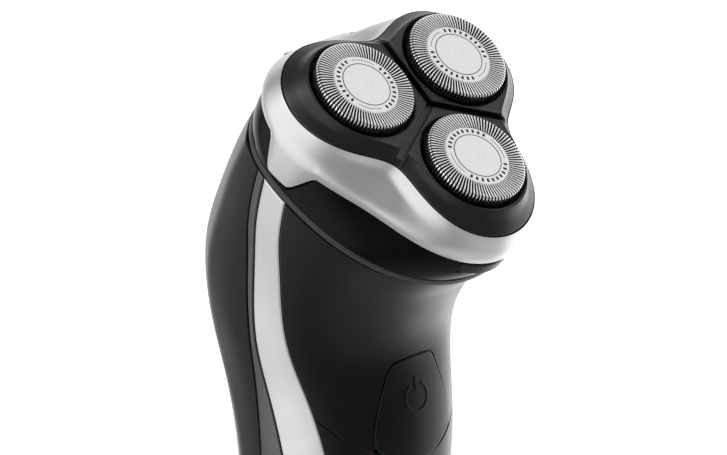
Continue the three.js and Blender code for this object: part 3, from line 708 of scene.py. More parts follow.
def moulded(name, colour, roughness=0.5, specular=0.4, shade=0.75):
    """Plain moulded plastic with a light grain and uneven tone."""
    look = Look(name, colour, roughness, specular=specular)
    look.vary_roughness(look.noise(4, 4), 0.05)
    look.vary_colour(look.ramp(look.noise(2.5, 5), 0, 0.6), tuple(c * shade for c in colour))
    look.bump(look.noise(0.2, 2), 0.003)
    return look.material


def board():
    """Solder mask with copper tracks showing through as a slightly raised, lighter pattern."""
    look = Look("board_green", (0.012, 0.11, 0.05), 0.35, specular=0.5)
    node = look.nodes.new("ShaderNodeTexVoronoi")
    node.distance = "MANHATTAN"
    node.feature = "F1"
    node.inputs["Scale"].default_value = 1.0
    look.links.new(look.scaled((400, 400, 400)), node.inputs["Vector"])
    tracks = look.ramp(node.outputs["Distance"], 0, 1, 0.35, 0.42)
    look.vary_colour(tracks, (0.03, 0.2, 0.09))
    look.vary_roughness(look.noise(3), 0.05)
    look.bump(tracks, 0.02)
    return look.material


LOOKS = {
    "satin_black": satin_black(),
    "head_black": satin_black("head_black", 0.5, 0.1),
    "print_black": moulded("print_black", (0.01, 0.01, 0.011), 0.5, 0.3),
    "gloss_black": gloss_black(),
    "insert_black": gloss_black("insert_black", 0.8, 0.8),
    "satin_silver": satin_silver(),
    "rim_grey": moulded("rim_grey", (0.038, 0.039, 0.042), 0.42, 0.35, 0.8),
    "cap_steel": turned_steel("cap_steel", (0.92, 0.925, 0.93), 0.25),
    "disc_steel": turned_steel("disc_steel", (0.86, 0.865, 0.87), 0.3, 0.93, 0.0003),
    # The cap carrier's near-black colour is painted shade, the dark in the deep slots and under each cap's
    # rim.
    "cap_carrier_painted_shade": plain_steel("cap_carrier_painted_shade", (0.012, 0.012, 0.013), 0.45),
    "blade_steel": plain_steel(),
    "white_nylon": moulded("white_nylon", (0.72, 0.71, 0.67), 0.45, 0.45, 0.9),
    "grey_plastic": moulded("grey_plastic", (0.075, 0.078, 0.082), 0.5, 0.4),
    "board_green": board(),
    "cell_wrap": moulded("cell_wrap", (0.02, 0.13, 0.3), 0.35, 0.5, 0.85),
    "motor_can": plain_steel("motor_can", (0.42, 0.42, 0.43), 0.35),
    "brass": plain_steel("brass", (0.62, 0.45, 0.17), 0.28),
}


# ---------------------------------------------------------------- handle shells


def strip_outline(left, right, bottom, top, steps=120):
    """Flat outline of a patch between two angles of t and two t of u."""
    u = np.linspace(-1, 1, steps, endpoint=False)

    def across(t, u):
        return to_flat(t, mix(left(t), right(t), (u + 1) / 2))

    low_left, low_right = bottom(-1), bottom(1)
    high_left, high_right = top(-1), top(1)
    rise_right = np.linspace(low_right, high_right, steps, endpoint=False)
    fall_left = np.linspace(high_left, low_left, steps, endpoint=False)
    return np.concatenate([
        across(bottom(u), u),
        to_flat(rise_right, right(rise_right)),
        across(top(-u), -u),
        to_flat(fall_left, left(fall_left)),
    ])


def inset_angle(seam_at, side):
    """A seam moved by half the gap; side is +1 to go towards larger angles."""
    return lambda t: seam_at(t) + side * GAP / 2 / section(t)[4]


SEAM_GAP_T = GAP / 2 / TABLE_LENGTH[-1]
BASE_EDGE = T_BASE + SEAM_GAP_T


def constant(t):
    return lambda u: t + 0 * np.asarray(u, float)


def shield(margin, foot=63.7, sag=57.5):
    """Flat outline of the power button, grown by a margin, with its lower corners at foot."""
    top, half = 82.8 + margin, 10.9 + margin
    low = half - 0.9
    sink = (sag - foot) * 2 / 3
    right = [
        bezier((0, top + 0.4), (1.6, top + 0.4), (3.2, top + 0.27), (4.8, top), 24),
        bezier((4.8, top), (5.8, top - 0.2), (6.4 + margin, top - 1), (6.9 + margin, top - 2.2), 12),
        bezier((6.9 + margin, top - 2.2), (8.4 + margin, 77.2), (half, 71.5), (half, 66.5), 40),
        bezier((half, 66.5), (half, 65.2), (half - 0.2, foot + 0.7), (low, foot), 14),
        bezier((low, foot), (low / 3, foot + sink), (0, foot + sink), (0, foot + sink * 0.75), 30),
    ]
    right = np.concatenate([*right, [(0, foot + sink * 0.75)]])
    left = (right * [-1, 1])[::-1][1:-1]
    outline = np.concatenate([right, left])
    return locate(outline[:, 0], outline[:, 1])


BUTTON_HOLE = shield(GAP, 58, 55)


def thin_round(loop, lip, reach=1.6):
    """Wall of a shell that is thin next to an opening, so that the piece in it moves clear."""
    def wall(points):
        offset = points[:, None, :] - loop[None, :, :]
        near = np.hypot(offset[..., 0], offset[..., 1]).min(axis=1) < reach
        return np.where(near, lip, WALL)
    return wall


def handle_plate(outline, spacing=1.0, roll=0.22, wall=WALL, hole=None, place=on_handle):
    loops = [outline] if hole is None else [outline, hole]

    def inside(points):
        found = contains(outline, points)
        if hole is not None:
            found &= ~contains(hole, points)
        return found

    return plate(loops, inside, place, spacing, wall, roll)


def make_front():
    left, right = inset_angle(lambda t: -front_seam(t), 1), inset_angle(front_seam, -1)
    upper = strip_outline(left, right, lambda u: panel_seam(u) + SEAM_GAP_T, constant(T_TOP))
    wall = thin_round(BUTTON_HOLE, 0.45)
    make_piece("front_panel", handle_plate(upper, 0.9, wall=wall, hole=BUTTON_HOLE), "handle",
               LOOKS["satin_black"])
    lower = strip_outline(left, right, constant(BASE_EDGE), lambda u: panel_seam(u) - SEAM_GAP_T)
    make_piece("lower_panel", handle_plate(lower, 0.9), "handle",
               LOOKS["satin_black"])


def make_sides():
    for side, name in ((-1, "left"), (1, "right")):
        def bounds(inner, outer):
            if side > 0:
                return inset_angle(inner, 1), inset_angle(outer, -1)
            return inset_angle(lambda t: -outer(t), 1), inset_angle(lambda t: -inner(t), -1)

        trim = strip_outline(*bounds(front_seam, trim_seam), constant(BASE_EDGE), constant(T_TOP))
        make_piece(f"side_trim_{name}", handle_plate(trim, 0.8, 0.45), "handle",
                   LOOKS["satin_silver"])
        insert = strip_outline(*bounds(trim_seam, back_seam), constant(BASE_EDGE), constant(T_TOP))
        make_piece(f"side_insert_{name}", handle_plate(insert, 0.8, 0.3), "handle",
                   LOOKS["insert_black"])


RIDGE_ANGLE = math.radians(116)
RIDGE_WIDTH = math.radians(7)
RIDGE_HEIGHT = 0.5


def on_back(points, inset):
    """The back shell's surface, with a soft ridge along each side."""
    t, angle = from_flat(points)
    off = np.abs(np.abs(angle - np.pi) - (np.pi - RIDGE_ANGLE)) / RIDGE_WIDTH
    ridge = RIDGE_HEIGHT * np.exp(-off ** 1.5)
    return surface(t, angle, inset - ridge * (np.asarray(inset) < WALL))


TRIMMER_HALF = 13.5
TRIMMER_HIGH = 126
AXLE_Y, AXLE_Z = 23.9, 107
HEEL = 5.2


def heel_height(x, radius):
    """Height at which the back surface at x meets a cylinder about the trimmer's axle."""
    low, high = np.full_like(x, 97.0), np.full_like(x, float(AXLE_Z))
    for _ in range(20):
        middle = (low + high) / 2
        flat = locate(x, middle, back=True)
        t, angle = from_flat(flat)
        y = surface(t, angle)[:, 1]
        outside = np.hypot(y - AXLE_Y, middle - AXLE_Z) > radius
        low, high = np.where(outside, middle, low), np.where(outside, high, middle)
    return (low + high) / 2


def trimmer_outline(margin=0.0, headroom=0.0, heelroom=0.0):
    x = np.linspace(-TRIMMER_HALF - margin, TRIMMER_HALF + margin, 60)
    low = heel_height(x, HEEL + heelroom)
    top = np.full_like(x, TRIMMER_HIGH + headroom)
    outline = np.concatenate([np.stack([x, low], -1), np.stack([x, top], -1)[::-1]])
    return locate(outline[:, 0], outline[:, 1], back=True)




def make_back():
    outline = strip_outline(inset_angle(back_seam, 1),
                            inset_angle(lambda t: 2 * np.pi - back_seam(t), -1),
                            constant(BASE_EDGE), constant(T_TOP))
    opening = trimmer_outline(0.4, 1.8, 0.95)
    slot = np.array([(-3, 83.5), (3, 83.5), (3, 93.5), (-3, 93.5)], float)
    slot = resample(slot, 0.5)
    slot = locate(slot[:, 0], slot[:, 1], back=True)

    def inside(points):
        return contains(outline, points) & ~contains(opening, points) & ~contains(slot, points)

    wall = thin_round(resample(opening, 0.5), 0.6, 3.5)
    make_piece("back_shell", plate([outline, opening, slot], inside, on_back, 1.0, wall, 0.3),
               "handle", LOOKS["satin_black"])


def make_button():
    outline = shield(0)
    shape = plate([outline], lambda p: contains(outline, p),
                  lambda p, inset: on_handle(p, inset - 0.25), 0.6, 4.5, 0.35)
    make_piece("power_button", shape, "power_key", LOOKS["satin_black"])
    make_symbol()


SYMBOL_Z = 74.2
SYMBOL_RADIUS = 3.2
SYMBOL_LINE = 0.34              # half the width of the symbol's lines
SYMBOL_OPENING = 32             # half the ring's opening, degrees


def make_symbol():
    """The generic power symbol: an open ring and a bar, moulded proud of the button."""
    centre = np.array([0.0, SYMBOL_Z])
    start, end = 90 + SYMBOL_OPENING, 450 - SYMBOL_OPENING
    outer = arc(centre, SYMBOL_RADIUS + SYMBOL_LINE, start, end, 80)
    inner = arc(centre, SYMBOL_RADIUS - SYMBOL_LINE, end, start, 80)
    bar_low, bar_high = SYMBOL_Z + 1.5, SYMBOL_Z + 4.4
    bar = np.concatenate([arc((0, bar_high), SYMBOL_LINE, 0, 180, 12),
                          arc((0, bar_low), SYMBOL_LINE, 180, 360, 12)])
    shapes = []
    for outline in (np.concatenate([outer, inner]), bar):
        loop = locate(outline[:, 0], outline[:, 1])
        shapes.append(plate([loop], lambda p, loop=loop: contains(loop, p),
                            lambda p, inset: on_handle(p, inset - 0.45), 0.2, 0.3, 0.12, step=0.15))
    make_piece("power_button", merge(*shapes), "power_key", LOOKS["satin_black"],
               name="power_symbol")


def make_base():
    """The bottom cap: rounded foot, flat underside and the mouth of the charging socket."""
    t = np.linspace(T_BASE - SEAM_GAP_T, at_height(1.2), 14)
    count = 240
    angle = np.linspace(0, 2 * np.pi, count, endpoint=False)
    outer = [surface(value, angle) for value in t]
    foot = [surface(0, angle, -0.1), surface(0, angle, 1.2), surface(0, angle, 9)]
    inner = [surface(at_height(2.2), angle, 9), surface(at_height(2.2), angle, 3.4),
             surface(T_BASE - SEAM_GAP_T, angle, WALL)]
    rings = [*outer, *foot, *inner]
    radii = [0.3] + [0] * (len(outer) - 1) + [1.6, 0, 0, 0, 1, 0.3]
    rings = rounded(rings, radii, 6, closed=True)
    floor = moved(turned([(0, 0), (12, 0), (12, 2.2), (0, 2.2)], 0.01, 64))
    shell = boolean(loft(rings, closed=True), floor, "UNION")
    mouth = box((-5, 5.4, -3), (5, 12.6, 14), 0.5)
    make_piece("base_cap", boolean(shell, mouth), "handle", LOOKS["satin_black"], sharp=30)


# ---------------------------------------------------------------- collar, rim and release button

RIM_ANGLES = np.linspace(0, 2 * np.pi, ROUND, endpoint=False)
RIM_POINTS = to_head(surface(1.0, RIM_ANGLES))
RIM_PHI = np.unwrap(np.arctan2(RIM_POINTS[:, 0], -RIM_POINTS[:, 1]))
RIM_RADIUS = np.hypot(RIM_POINTS[:, 0], RIM_POINTS[:, 1])
RIM_TOP = 22                    # depths below the plane of the caps
RIM_BOTTOM = 23.6
RIM_CORNERS = ((0.05, RIM_TOP + 0.05), (0.05, RIM_BOTTOM), (2.7, RIM_BOTTOM), (2.7, RIM_TOP + 0.05))
COLLAR_TOP = 14.3
COLLAR_FLOOR = 21.4
COLLAR_BOTTOM = 24.4
RELEASE_TOP = 14.8


def rim_radius(angle):
    return np.interp(angle, RIM_PHI, RIM_RADIUS, period=2 * np.pi)


def collar_radius(angle, depth):
    """Outside of the collar: it follows the rim below and tucks in under the bezel above."""
    low = np.clip((depth - 13.8) / (RIM_TOP - 13.8), 0, 1)
    base = mix(skirt_radius(angle) - 1.3, rim_radius(angle) - 0.2, low) + 0.7 * np.sin(np.pi * low)
    pocket = skirt_radius(angle) - 2.1 + 6 * smooth((depth - skirt_depth(angle) - 0.1) / 1.6)
    return np.minimum(base, pocket)


HINGE_Y = 28.4
HINGE_DEPTH = 18.2
HINGE_RADIUS = 1.5
HINGE_BORE = 0.9


def along_x(shape):
    """A shape about Z laid along X at the unit's hinge."""
    return moved(shape, Matrix.Rotation(math.pi / 2, 4, "Y"), (0, HINGE_Y, -HINGE_DEPTH))


def make_collar():
    depths = np.linspace(RIM_TOP - 0.05, COLLAR_TOP, 52)
    outer = [ring(lambda a, d=d: collar_radius(a, d), d) for d in depths]
    rings = [
        ring(lambda a: rim_radius(a) - 3.2, COLLAR_BOTTOM),
        ring(lambda a: rim_radius(a) - 3.2, RIM_TOP),
        *outer,
        ring(lambda a: collar_radius(a, COLLAR_TOP) - 1.5, COLLAR_TOP - 0.2),
        ring(lambda a: collar_radius(a, 17.5) - 2.6, 17.5),
        ring(lambda a: np.minimum(rim_radius(a) - 3.2, collar_radius(a, 21) - 1.6), COLLAR_FLOOR - 0.6),
        ring(lambda a: np.minimum(rim_radius(a), skirt_radius(a)) - 8, COLLAR_FLOOR),
        ring(8, COLLAR_FLOOR),
    ]
    radii = [0, 0, 0.25] + [0] * (len(outer) - 2) + [0.5, 0.6, 1, 1.5, 1, 0]
    bowl = rounded(rings, radii, 5, closed=False)
    bowl = np.concatenate([[ring(8, COLLAR_BOTTOM)], bowl])
    floor = [(0, -COLLAR_BOTTOM), (9, -COLLAR_BOTTOM), (9, -COLLAR_FLOOR), (0, -COLLAR_FLOOR)]
    shape = boolean(loft(bowl, closed=True), turned(floor, 0.01, 64), "UNION")
    bore = turned([(0, -26), (2.4, -26), (2.4, -20), (0, -20)], 0.01, 48)
    for index in range(3):
        shape = boolean(shape, moved(bore, offset=(*cap_centre(index), 0)))
    shape = boolean(shape, box((-7.8, -42, -17.9), (7.8, -26, -14.5), 0.2, 2))
    for side in (-1, 1):
        low, high = sorted((side * 6.6, side * 10))
        ear = along_x(tube(HINGE_RADIUS, HINGE_BORE, low, high))
        web = box((low, HINGE_Y - 3.2, -RIM_TOP + 0.3), (high, HINGE_Y + 1.0, -HINGE_DEPTH - 1.2), 0.4)
        shape = merge(shape, ear, web)
    make_piece("collar", shape, "handle", LOOKS["gloss_black"], HEAD_MATRIX, sharp=35)


def make_rim():
    corners = [
        ring(lambda a, inset=inset: rim_radius(a) - inset, depth)
        for inset, depth in RIM_CORNERS
    ]
    make_piece("collar_rim", loft(rounded(corners, [0.3, 0.3, 0.1, 0.1]), closed=True), "handle",
               LOOKS["rim_grey"], HEAD_MATRIX)


def make_release():
    curve = bezier((-7.5, -31), (-2.5, -34.33), (2.5, -34.33), (7.5, -31), 40)
    outline = np.concatenate([[(-7.5, -28.6)], curve, [(7.5, -31), (7.5, -28.6)]])

    def place(points, inset):
        inset = np.broadcast_to(inset, len(points))
        return np.column_stack([points, -RELEASE_TOP - inset])

    shape = plate([outline], lambda p: contains(outline, p), place, 0.5, 2.8, 0.45)
    make_piece("release_button", shape, "release_key", LOOKS["satin_black"], HEAD_MATRIX)


# ---------------------------------------------------------------- shaving unit


def make_bezel():
    corners = [
        ring(holder_radius, holder_depth),
        ring(crease_radius, crease_depth),
        ring(wide_radius, WIDE_DEPTH),
        ring(skirt_radius, skirt_depth),
        ring(lambda a: skirt_radius(a) - 1.5, skirt_depth),
        ring(lambda a: wide_radius(a) - 1.8, lambda a: WIDE_DEPTH + 1 - np.cos(3 * a)),
        ring(holder_radius, lambda a: crease_depth(a) + 1.6),
    ]
    band = loft(rounded(corners, [0.35, 1.8, 2.4, 0.45, 0.3, 1, 0.3], 9), closed=True)
    knuckle = along_x(tube(HINGE_RADIUS, HINGE_BORE, -6, 6))
    side = np.array([(24.9, -12.1), (26.1, -12.4), (29.1, -15.7), (29.9, -17.3), (28.4, -17.2),
                     (26.9, -16.9), (24.9, -14.5)])
    arm = rolled(loft([np.insert(side, 0, x, axis=1) for x in (-6, 6)], capped=True), 0.35)
    make_piece("bezel", merge(band, knuckle, arm), "shaving_unit",
               LOOKS["satin_silver"], HEAD_MATRIX)


GROOVE_HALF = 0.9
GROOVE_DEPTH = FACE_DEPTH + 1.3
GROOVE_ANGLES = np.radians([60, 180, 300])
HOLE_ROLL = 0.35
EDGE_ROUND = 0.28
HOLDER_CLEAR = 0.3


def holder_profile(points):
    """Depth of the head's black top at points of its plane, without the grooves."""
    angle = np.arctan2(points[:, 0], -points[:, 1])
    radius = np.hypot(points[:, 0], points[:, 1])
    face, shoulder = face_radius(angle), shoulder_radius(angle)
    edge = holder_radius(angle) - HOLDER_CLEAR
    slope = (shoulder_depth(angle) - FACE_DEPTH) / (shoulder - face)
    fall = (holder_depth(angle) - shoulder_depth(angle)) / (edge - shoulder)
    first = radius - face
    second = radius - shoulder

    def ease(value, width):
        """0 below -width, the value above +width, and a smooth bend between."""
        blend = (value + width) ** 2 / (4 * width)
        return np.where(value < -width, 0, np.where(value > width, value, blend))

    bead = 0.12 * np.exp(-(first / 0.18) ** 2)
    return FACE_DEPTH + slope * ease(first, EDGE_ROUND) + (fall - slope) * ease(second, 0.45) - bead


def groove_offset(points):
    """Distance from the nearest groove's middle line; large on the far side of the centre."""
    offsets = []
    for angle in GROOVE_ANGLES:
        along = points[:, 0] * math.sin(angle) - points[:, 1] * math.cos(angle)
        across = points[:, 0] * math.cos(angle) + points[:, 1] * math.sin(angle)
        offsets.append(np.where(along > 0, np.abs(across), np.hypot(along, across)))
    return np.min(offsets, axis=0)


def holder_relief(points):
    depth = holder_profile(points)
    off = groove_offset(points)
    lip = -0.1 * np.exp(-((off - GROOVE_HALF - 0.22) / 0.16) ** 2)
    wall = smooth((GROOVE_HALF - off) / 0.16)
    depth = np.where(off < GROOVE_HALF, mix(depth, np.maximum(depth, GROOVE_DEPTH), wall), depth + lip)
    for index in range(3):
        reach = np.hypot(*(points - cap_centre(index)).T) - CAP_HOLE
        rest = np.clip(HOLE_ROLL - reach, 0, HOLE_ROLL)
        depth = depth + HOLE_ROLL - np.sqrt(HOLE_ROLL ** 2 - rest ** 2)
    return depth


def make_holder():
    outline = polar(holder_radius(ANGLES) - HOLDER_CLEAR, ANGLES, 0)[:, :2]
    holes = [circle(cap_centre(index), CAP_HOLE, 240) for index in range(3)]
    lines = []
    for share in (-0.28, -0.14, 0, 0.14, 0.28):
        radius = face_radius(ANGLES) + share
        lines.append(polar(radius, ANGLES, 0)[:, :2])
    lines.append(polar(mix(face_radius(ANGLES), shoulder_radius(ANGLES), 0.5), ANGLES, 0)[:, :2])
    for offset in (-0.45, -0.3, -0.15, 0, 0.15, 0.3, 0.45):
        lines.append(polar(shoulder_radius(ANGLES) + offset, ANGLES, 0)[:, :2])
    for share in (0.45, 0.7, 0.88):
        radius = mix(shoulder_radius(ANGLES), holder_radius(ANGLES) - HOLDER_CLEAR, share)
        lines.append(polar(radius, ANGLES, 0)[:, :2])
    lines = [np.concatenate([line, line[:1]]) for line in lines]
    for index in range(3):
        for grow in (0.04, 0.1, 0.2, 0.35):
            loop = circle(cap_centre(index), CAP_HOLE + grow, 240)
            lines.append(np.concatenate([loop, loop[:1]]))
    for angle in GROOVE_ANGLES:
        out = np.array([math.sin(angle), -math.cos(angle)])
        side = np.array([math.cos(angle), math.sin(angle)])
        along = np.linspace(0.0, 19.2, 60)[:, None]
        for offset in (0.72, 0.78, 0.84, 0.9, 1.0, 1.12, 1.24, 1.4):
            for sign in (-1, 1):
                lines.append(along * out + sign * offset * side)

    def inside(points):
        found = contains(outline, points)
        for index in range(3):
            found &= np.hypot(*(points - cap_centre(index)).T) > CAP_HOLE - 1e-3
        return found

    def place(points, inset):
        return np.column_stack([points, -np.broadcast_to(inset, len(points))])

    def underside(points):
        return np.maximum(4.4, holder_profile(points) + 1.2)

    top = plate([outline, *holes], inside, place, 0.7, underside, 0, lines, holder_relief)
    edge = HOLDER_CLEAR + 0.05
    skirt = [
        ring(lambda a: holder_radius(a) - edge, lambda a: holder_depth(a) + 0.9),
        ring(lambda a: holder_radius(a) - edge, 8.4),
        ring(lambda a: holder_radius(a) - 1.9, 8.4),
        ring(lambda a: holder_radius(a) - 1.9, lambda a: holder_depth(a) + 0.9),
    ]
    skirt = loft(rounded(skirt, [0, 0.3, 0.3, 0]), closed=True)
    make_piece("head_holder", merge(top, skirt), "shaving_unit", LOOKS["head_black"],
               HEAD_MATRIX, sharp=55)


# ---------------------------------------------------------------- shaving caps

RIBS = 90
RIB_SLANT = math.radians(3.2)   # how far a rib leans round the cap from its root to the rim
RIB_ROOT = 7.6
RIM_CURL = 0.7


def rib(index):
    """One rib: out along the top of the cap, round the rim and down the side."""
    flat = np.linspace(RIB_ROOT - 0.25, CAP_RADIUS - RIM_CURL, 6)
    turn = np.radians(np.linspace(0, 90, 7))[1:]
    radius = np.concatenate([flat, CAP_RADIUS - RIM_CURL + RIM_CURL * np.sin(turn), [CAP_RADIUS] * 2])
    depth = np.concatenate([0 * flat, RIM_CURL - RIM_CURL * np.cos(turn), [1.3, 2.5]])
    out = np.concatenate([0 * flat, np.sin(turn), [1, 1]])
    lean = RIB_SLANT * np.clip((radius - RIB_ROOT) / (CAP_RADIUS - RIB_ROOT), 0, 1)
    middle = 2 * np.pi * index / RIBS + lean
    half = np.pi / RIBS * mix(0.42, 0.47, np.clip((radius - RIB_ROOT) / 3, 0, 1)) * radius
    rings = []
    for across, rise in ((-1, -0.22), (-1, -0.07), (-0.72, 0), (0.72, 0), (1, -0.07), (1, -0.22)):
        angle = middle + across * half / radius
        reach = radius + rise * out
        height = -depth + rise * (1 - out)
        rings.append(np.stack([reach * np.cos(angle), reach * np.sin(angle), height], -1))
    rings = np.array(rings).swapaxes(0, 1)
    return loft(rings, capped=True)


def cap_matrix(index):
    x, y = cap_centre(index) * MM
    return HEAD_MATRIX @ Matrix.Translation((x, y, 0)) @ Matrix.Rotation(index * 2 * math.pi / 3, 4, "Z")


def make_caps():
    """Bright ribs over a carrier whose near-black colour is painted shade: it shows between the ribs and
    under the rims as the dark of the slots.
    """
    ribs = merge(*(rib(i) for i in range(RIBS)))
    carrier = merge(
        sleeve([(CAP_RADIUS - 0.1, -5), (CAP_RADIUS - 0.1, -2.3), (10.6, -2), (10.6, -0.65), (6.9, -0.65),
                (6.9, -1.05), (10.2, -1.05), (10.2, -5)], 0.1, 180),
        tube(12.5, 10.5, -5.7, -4.8, 0.15, 180),
        tube(6.95, 0.02, -1, -0.6, 0.05, 96),
    )
    for index in range(3):
        node, body, place = f"shaving_cap_{index + 1}", f"cap_{index + 1}", cap_matrix(index)
        make_piece(node, ribs, body, LOOKS["cap_steel"], place, sharp=50)
        make_piece(node, carrier, body, LOOKS["cap_carrier_painted_shade"], place,
                   name=f"cap_carrier_painted_shade_{index + 1}")


DISC_RADIUS = 7.5
MARK_RADIUS = 6.4


def disc_height(radius):
    """Domed disc with one turned groove and a dimple in the middle."""
    dome = -0.1 + 0.16 * (1 - (radius / DISC_RADIUS) ** 2)
    groove = 0.07 * np.exp(-((radius - 5.4) / 0.1) ** 2)
    dimple = 0.1 * np.exp(-(radius / 1.5) ** 6)
    edge = 0.2 * smooth((radius - DISC_RADIUS + 0.25) / 0.25)
    return dome - groove - dimple - edge


def arc_band(radius, half, start, end, proud=0.012):
    """Raised band along an arc on the disc, with angles in degrees."""
    angles = np.radians(np.linspace(start, end, max(3, int(abs(end - start) / 2) + 2)))
    rings = []
    for reach, rise in ((-half, -0.05), (-half, proud), (half, proud), (half, -0.05)):
        r = radius + reach
        height = np.full(len(angles), disc_height(r) + rise)
        rings.append(np.stack([r * np.cos(angles), r * np.sin(angles), height], -1))
    return loft(np.array(rings).swapaxes(0, 1), capped=True)


def disc_marks():
    """Printed circle, and a ring of two arcs and two groups of short generic marks."""
    circle_line = sleeve([(5.46, -0.1), (5.46, disc_height(5.4) + 0.07), (5.34, disc_height(5.4) + 0.07),
                          (5.34, -0.1)], 0.01, 144)
    shapes = [circle_line]
    for side in (0, 180):
        shapes.append(arc_band(MARK_RADIUS, 0.06, side - 24, side + 24))
        for i in range(10):
            middle = side + 90 + (i - 4.5) * 11.5
            shapes.append(arc_band(MARK_RADIUS, 0.42, middle - 2.4, middle + 2.4))
    return merge(*shapes)


def make_discs():
    radii = np.unique(np.concatenate([
        np.linspace(0.02, DISC_RADIUS, 40),
        *(np.linspace(c - 0.3, c + 0.3, 13) for c in (5.4, 1.5)),
        np.linspace(7.2, DISC_RADIUS, 6),
    ]))
    count = 144
    angles = np.linspace(0, 2 * np.pi, count, endpoint=False)
    rings = [np.stack([r * np.cos(angles), r * np.sin(angles), np.full(count, disc_height(r))], -1)
             for r in radii]
    bottom = np.full(count, -0.42)
    rings.append(np.stack([DISC_RADIUS * np.cos(angles), DISC_RADIUS * np.sin(angles), bottom], -1))
    shape, marks = loft(rings, capped=True), disc_marks()
    for index in range(3):
        node, body, place = f"cap_disc_{index + 1}", f"cap_{index + 1}", cap_matrix(index)
        make_piece(node, shape, body, LOOKS["disc_steel"], place, sharp=50)
        make_piece(node, marks, body, LOOKS["print_black"], place, sharp=50,
                   name=f"cap_disc_marks_{index + 1}")


def make_cutters():
    hub = turned([(0, -7), (2.6, -7), (2.6, -11), (4, -11), (4, -3.4), (9.6, -3.4), (9.6, -2.4), (0, -2.4)],
                 0.2, 96)
    blade = box((6.4, -0.3, -2.9), (9.3, 0.3, -1.25), 0.1, 2)
    blades = [moved(blade, Matrix.Rotation(i * 2 * math.pi / 9, 4, "Z")) for i in range(9)]
    shape = merge(hub, *blades)
    for index in range(3):
        make_piece(f"cutter_{index + 1}", shape, f"cutter_wheel_{index + 1}",
                   LOOKS["blade_steel"], cap_matrix(index))


def make_retainer():
    centres = [cap_centre(index) for index in range(3)]
    loops = [circle((0, 0), 7, 120), circle((0, 0), 2.3, 60)]
    loops += [circle(c, r, 180) for c in centres for r in (12.4, 5.4)]

    def inside(points):
        solid = np.hypot(*points.T) < 7
        holes = np.hypot(*points.T) < 2.3
        for c in centres:
            reach = np.hypot(*(points - c).T)
            solid |= reach < 12.4
            holes |= reach < 5.4
        return solid & ~holes

    def relief(points):
        """Spokes stay proud and the fields between them are pressed in."""
        depth = np.zeros(len(points))
        for c in centres:
            rel = points - c
            reach = np.hypot(*rel.T)
            turn = np.arctan2(rel[:, 1], rel[:, 0])
            field = smooth((np.cos(6 * turn) + 0.55) / 0.25) * smooth((reach - 6.6) / 0.3)
            depth = np.maximum(depth, 0.35 * field * smooth((11.2 - reach) / 0.3) * (reach < 12))
        return depth

    def place(points, inset):
        return np.column_stack([points, -9.3 + np.broadcast_to(inset, len(points))])

    shape = plate(loops, inside, place, 0.45, 1.6, 0.2, relief=relief)
    make_piece("retaining_frame", shape, "shaving_unit", LOOKS["grey_plastic"], HEAD_MATRIX)


def make_lock():
    shape = merge(
        turned([(0, -12), (4.6, -12), (4.6, -9.6), (2, -9.6), (2, -5.6), (0, -5.6)], 0.25),
        box((-4, -1, -14.6), (4, 1, -11.6), 0.5, 4),
    )
    make_piece("lock_knob", shape, "lock", LOOKS["white_nylon"], HEAD_MATRIX)


def make_spindles():
    """Coupling spindles: turned shafts that narrow at the tip."""
    for index in range(3):
        x, y = cap_centre(index)
        shaft = turned([(0, -30.5), (1.5, -30.5), (1.5, -9.8), (1, -9.2), (0, -9.2)], 0.2, 48)
        make_piece(f"drive_spindle_{index + 1}", shaft, f"drive_{index + 1}",
                   LOOKS["white_nylon"], HEAD_MATRIX @ Matrix.Translation((x * MM, y * MM, 0)))


# ---------------------------------------------------------------- trimmer


def make_trimmer():
    outline = trimmer_outline()
    seat_low = locate(np.linspace(-11.3, 11.3, 30), 121.1, back=True)
    seat_high = locate(np.linspace(11.3, -11.3, 30), 127.5, back=True)
    seat = np.concatenate([seat_low, seat_high])

    def inside(points):
        return contains(outline, points) & ~contains(seat, points)

    cover = plate([outline, seat], inside, on_handle, 0.9, 3.2, 0.3)
    barrel = tube(HEEL - 0.4, 1.0, -TRIMMER_HALF, TRIMMER_HALF, 0.4)
    barrel = moved(barrel, Matrix.Rotation(math.pi / 2, 4, "Y"), (0, AXLE_Y, AXLE_Z))
    angle = np.linspace(0, 2 * np.pi, 160, endpoint=False)
    core = loft([surface(t, angle, 0.4) for t in np.linspace(0.5, 0.9, 40)], capped=True)
    barrel = boolean(barrel, core, "INTERSECT")
    make_piece("trimmer_housing", merge(cover, barrel), "trimmer", LOOKS["satin_black"])


COMB_LEAN = math.radians(33)
COMB_Y = 20.3
COMB_Z = 122.9


def make_comb(node, body, half, low, high, teeth, thickness, offset):
    pitch = 2 * half / teeth
    outline = [(-half, low)]
    for i in range(teeth):
        left = -half + i * pitch
        outline += [(left, high - 2), (left + 0.25 * pitch, high), (left + 0.55 * pitch, high),
                    (left + 0.8 * pitch, high - 2)]
    outline += [(half, high - 2), (half, low)]
    outline = np.array(outline, float)

    def place(points, inset):
        return np.column_stack([points[:, 0], -np.broadcast_to(inset, len(points)), points[:, 1]])

    shape = plate([outline], lambda p: contains(outline, p), place, 0.5, thickness, 0.08, step=0.25)
    spot = (0, COMB_Y + offset * math.cos(COMB_LEAN), COMB_Z + offset * math.sin(COMB_LEAN))
    shape = moved(shape, Matrix.Rotation(COMB_LEAN, 4, "X"), spot)
    make_piece(node, shape, body, LOOKS["blade_steel"])


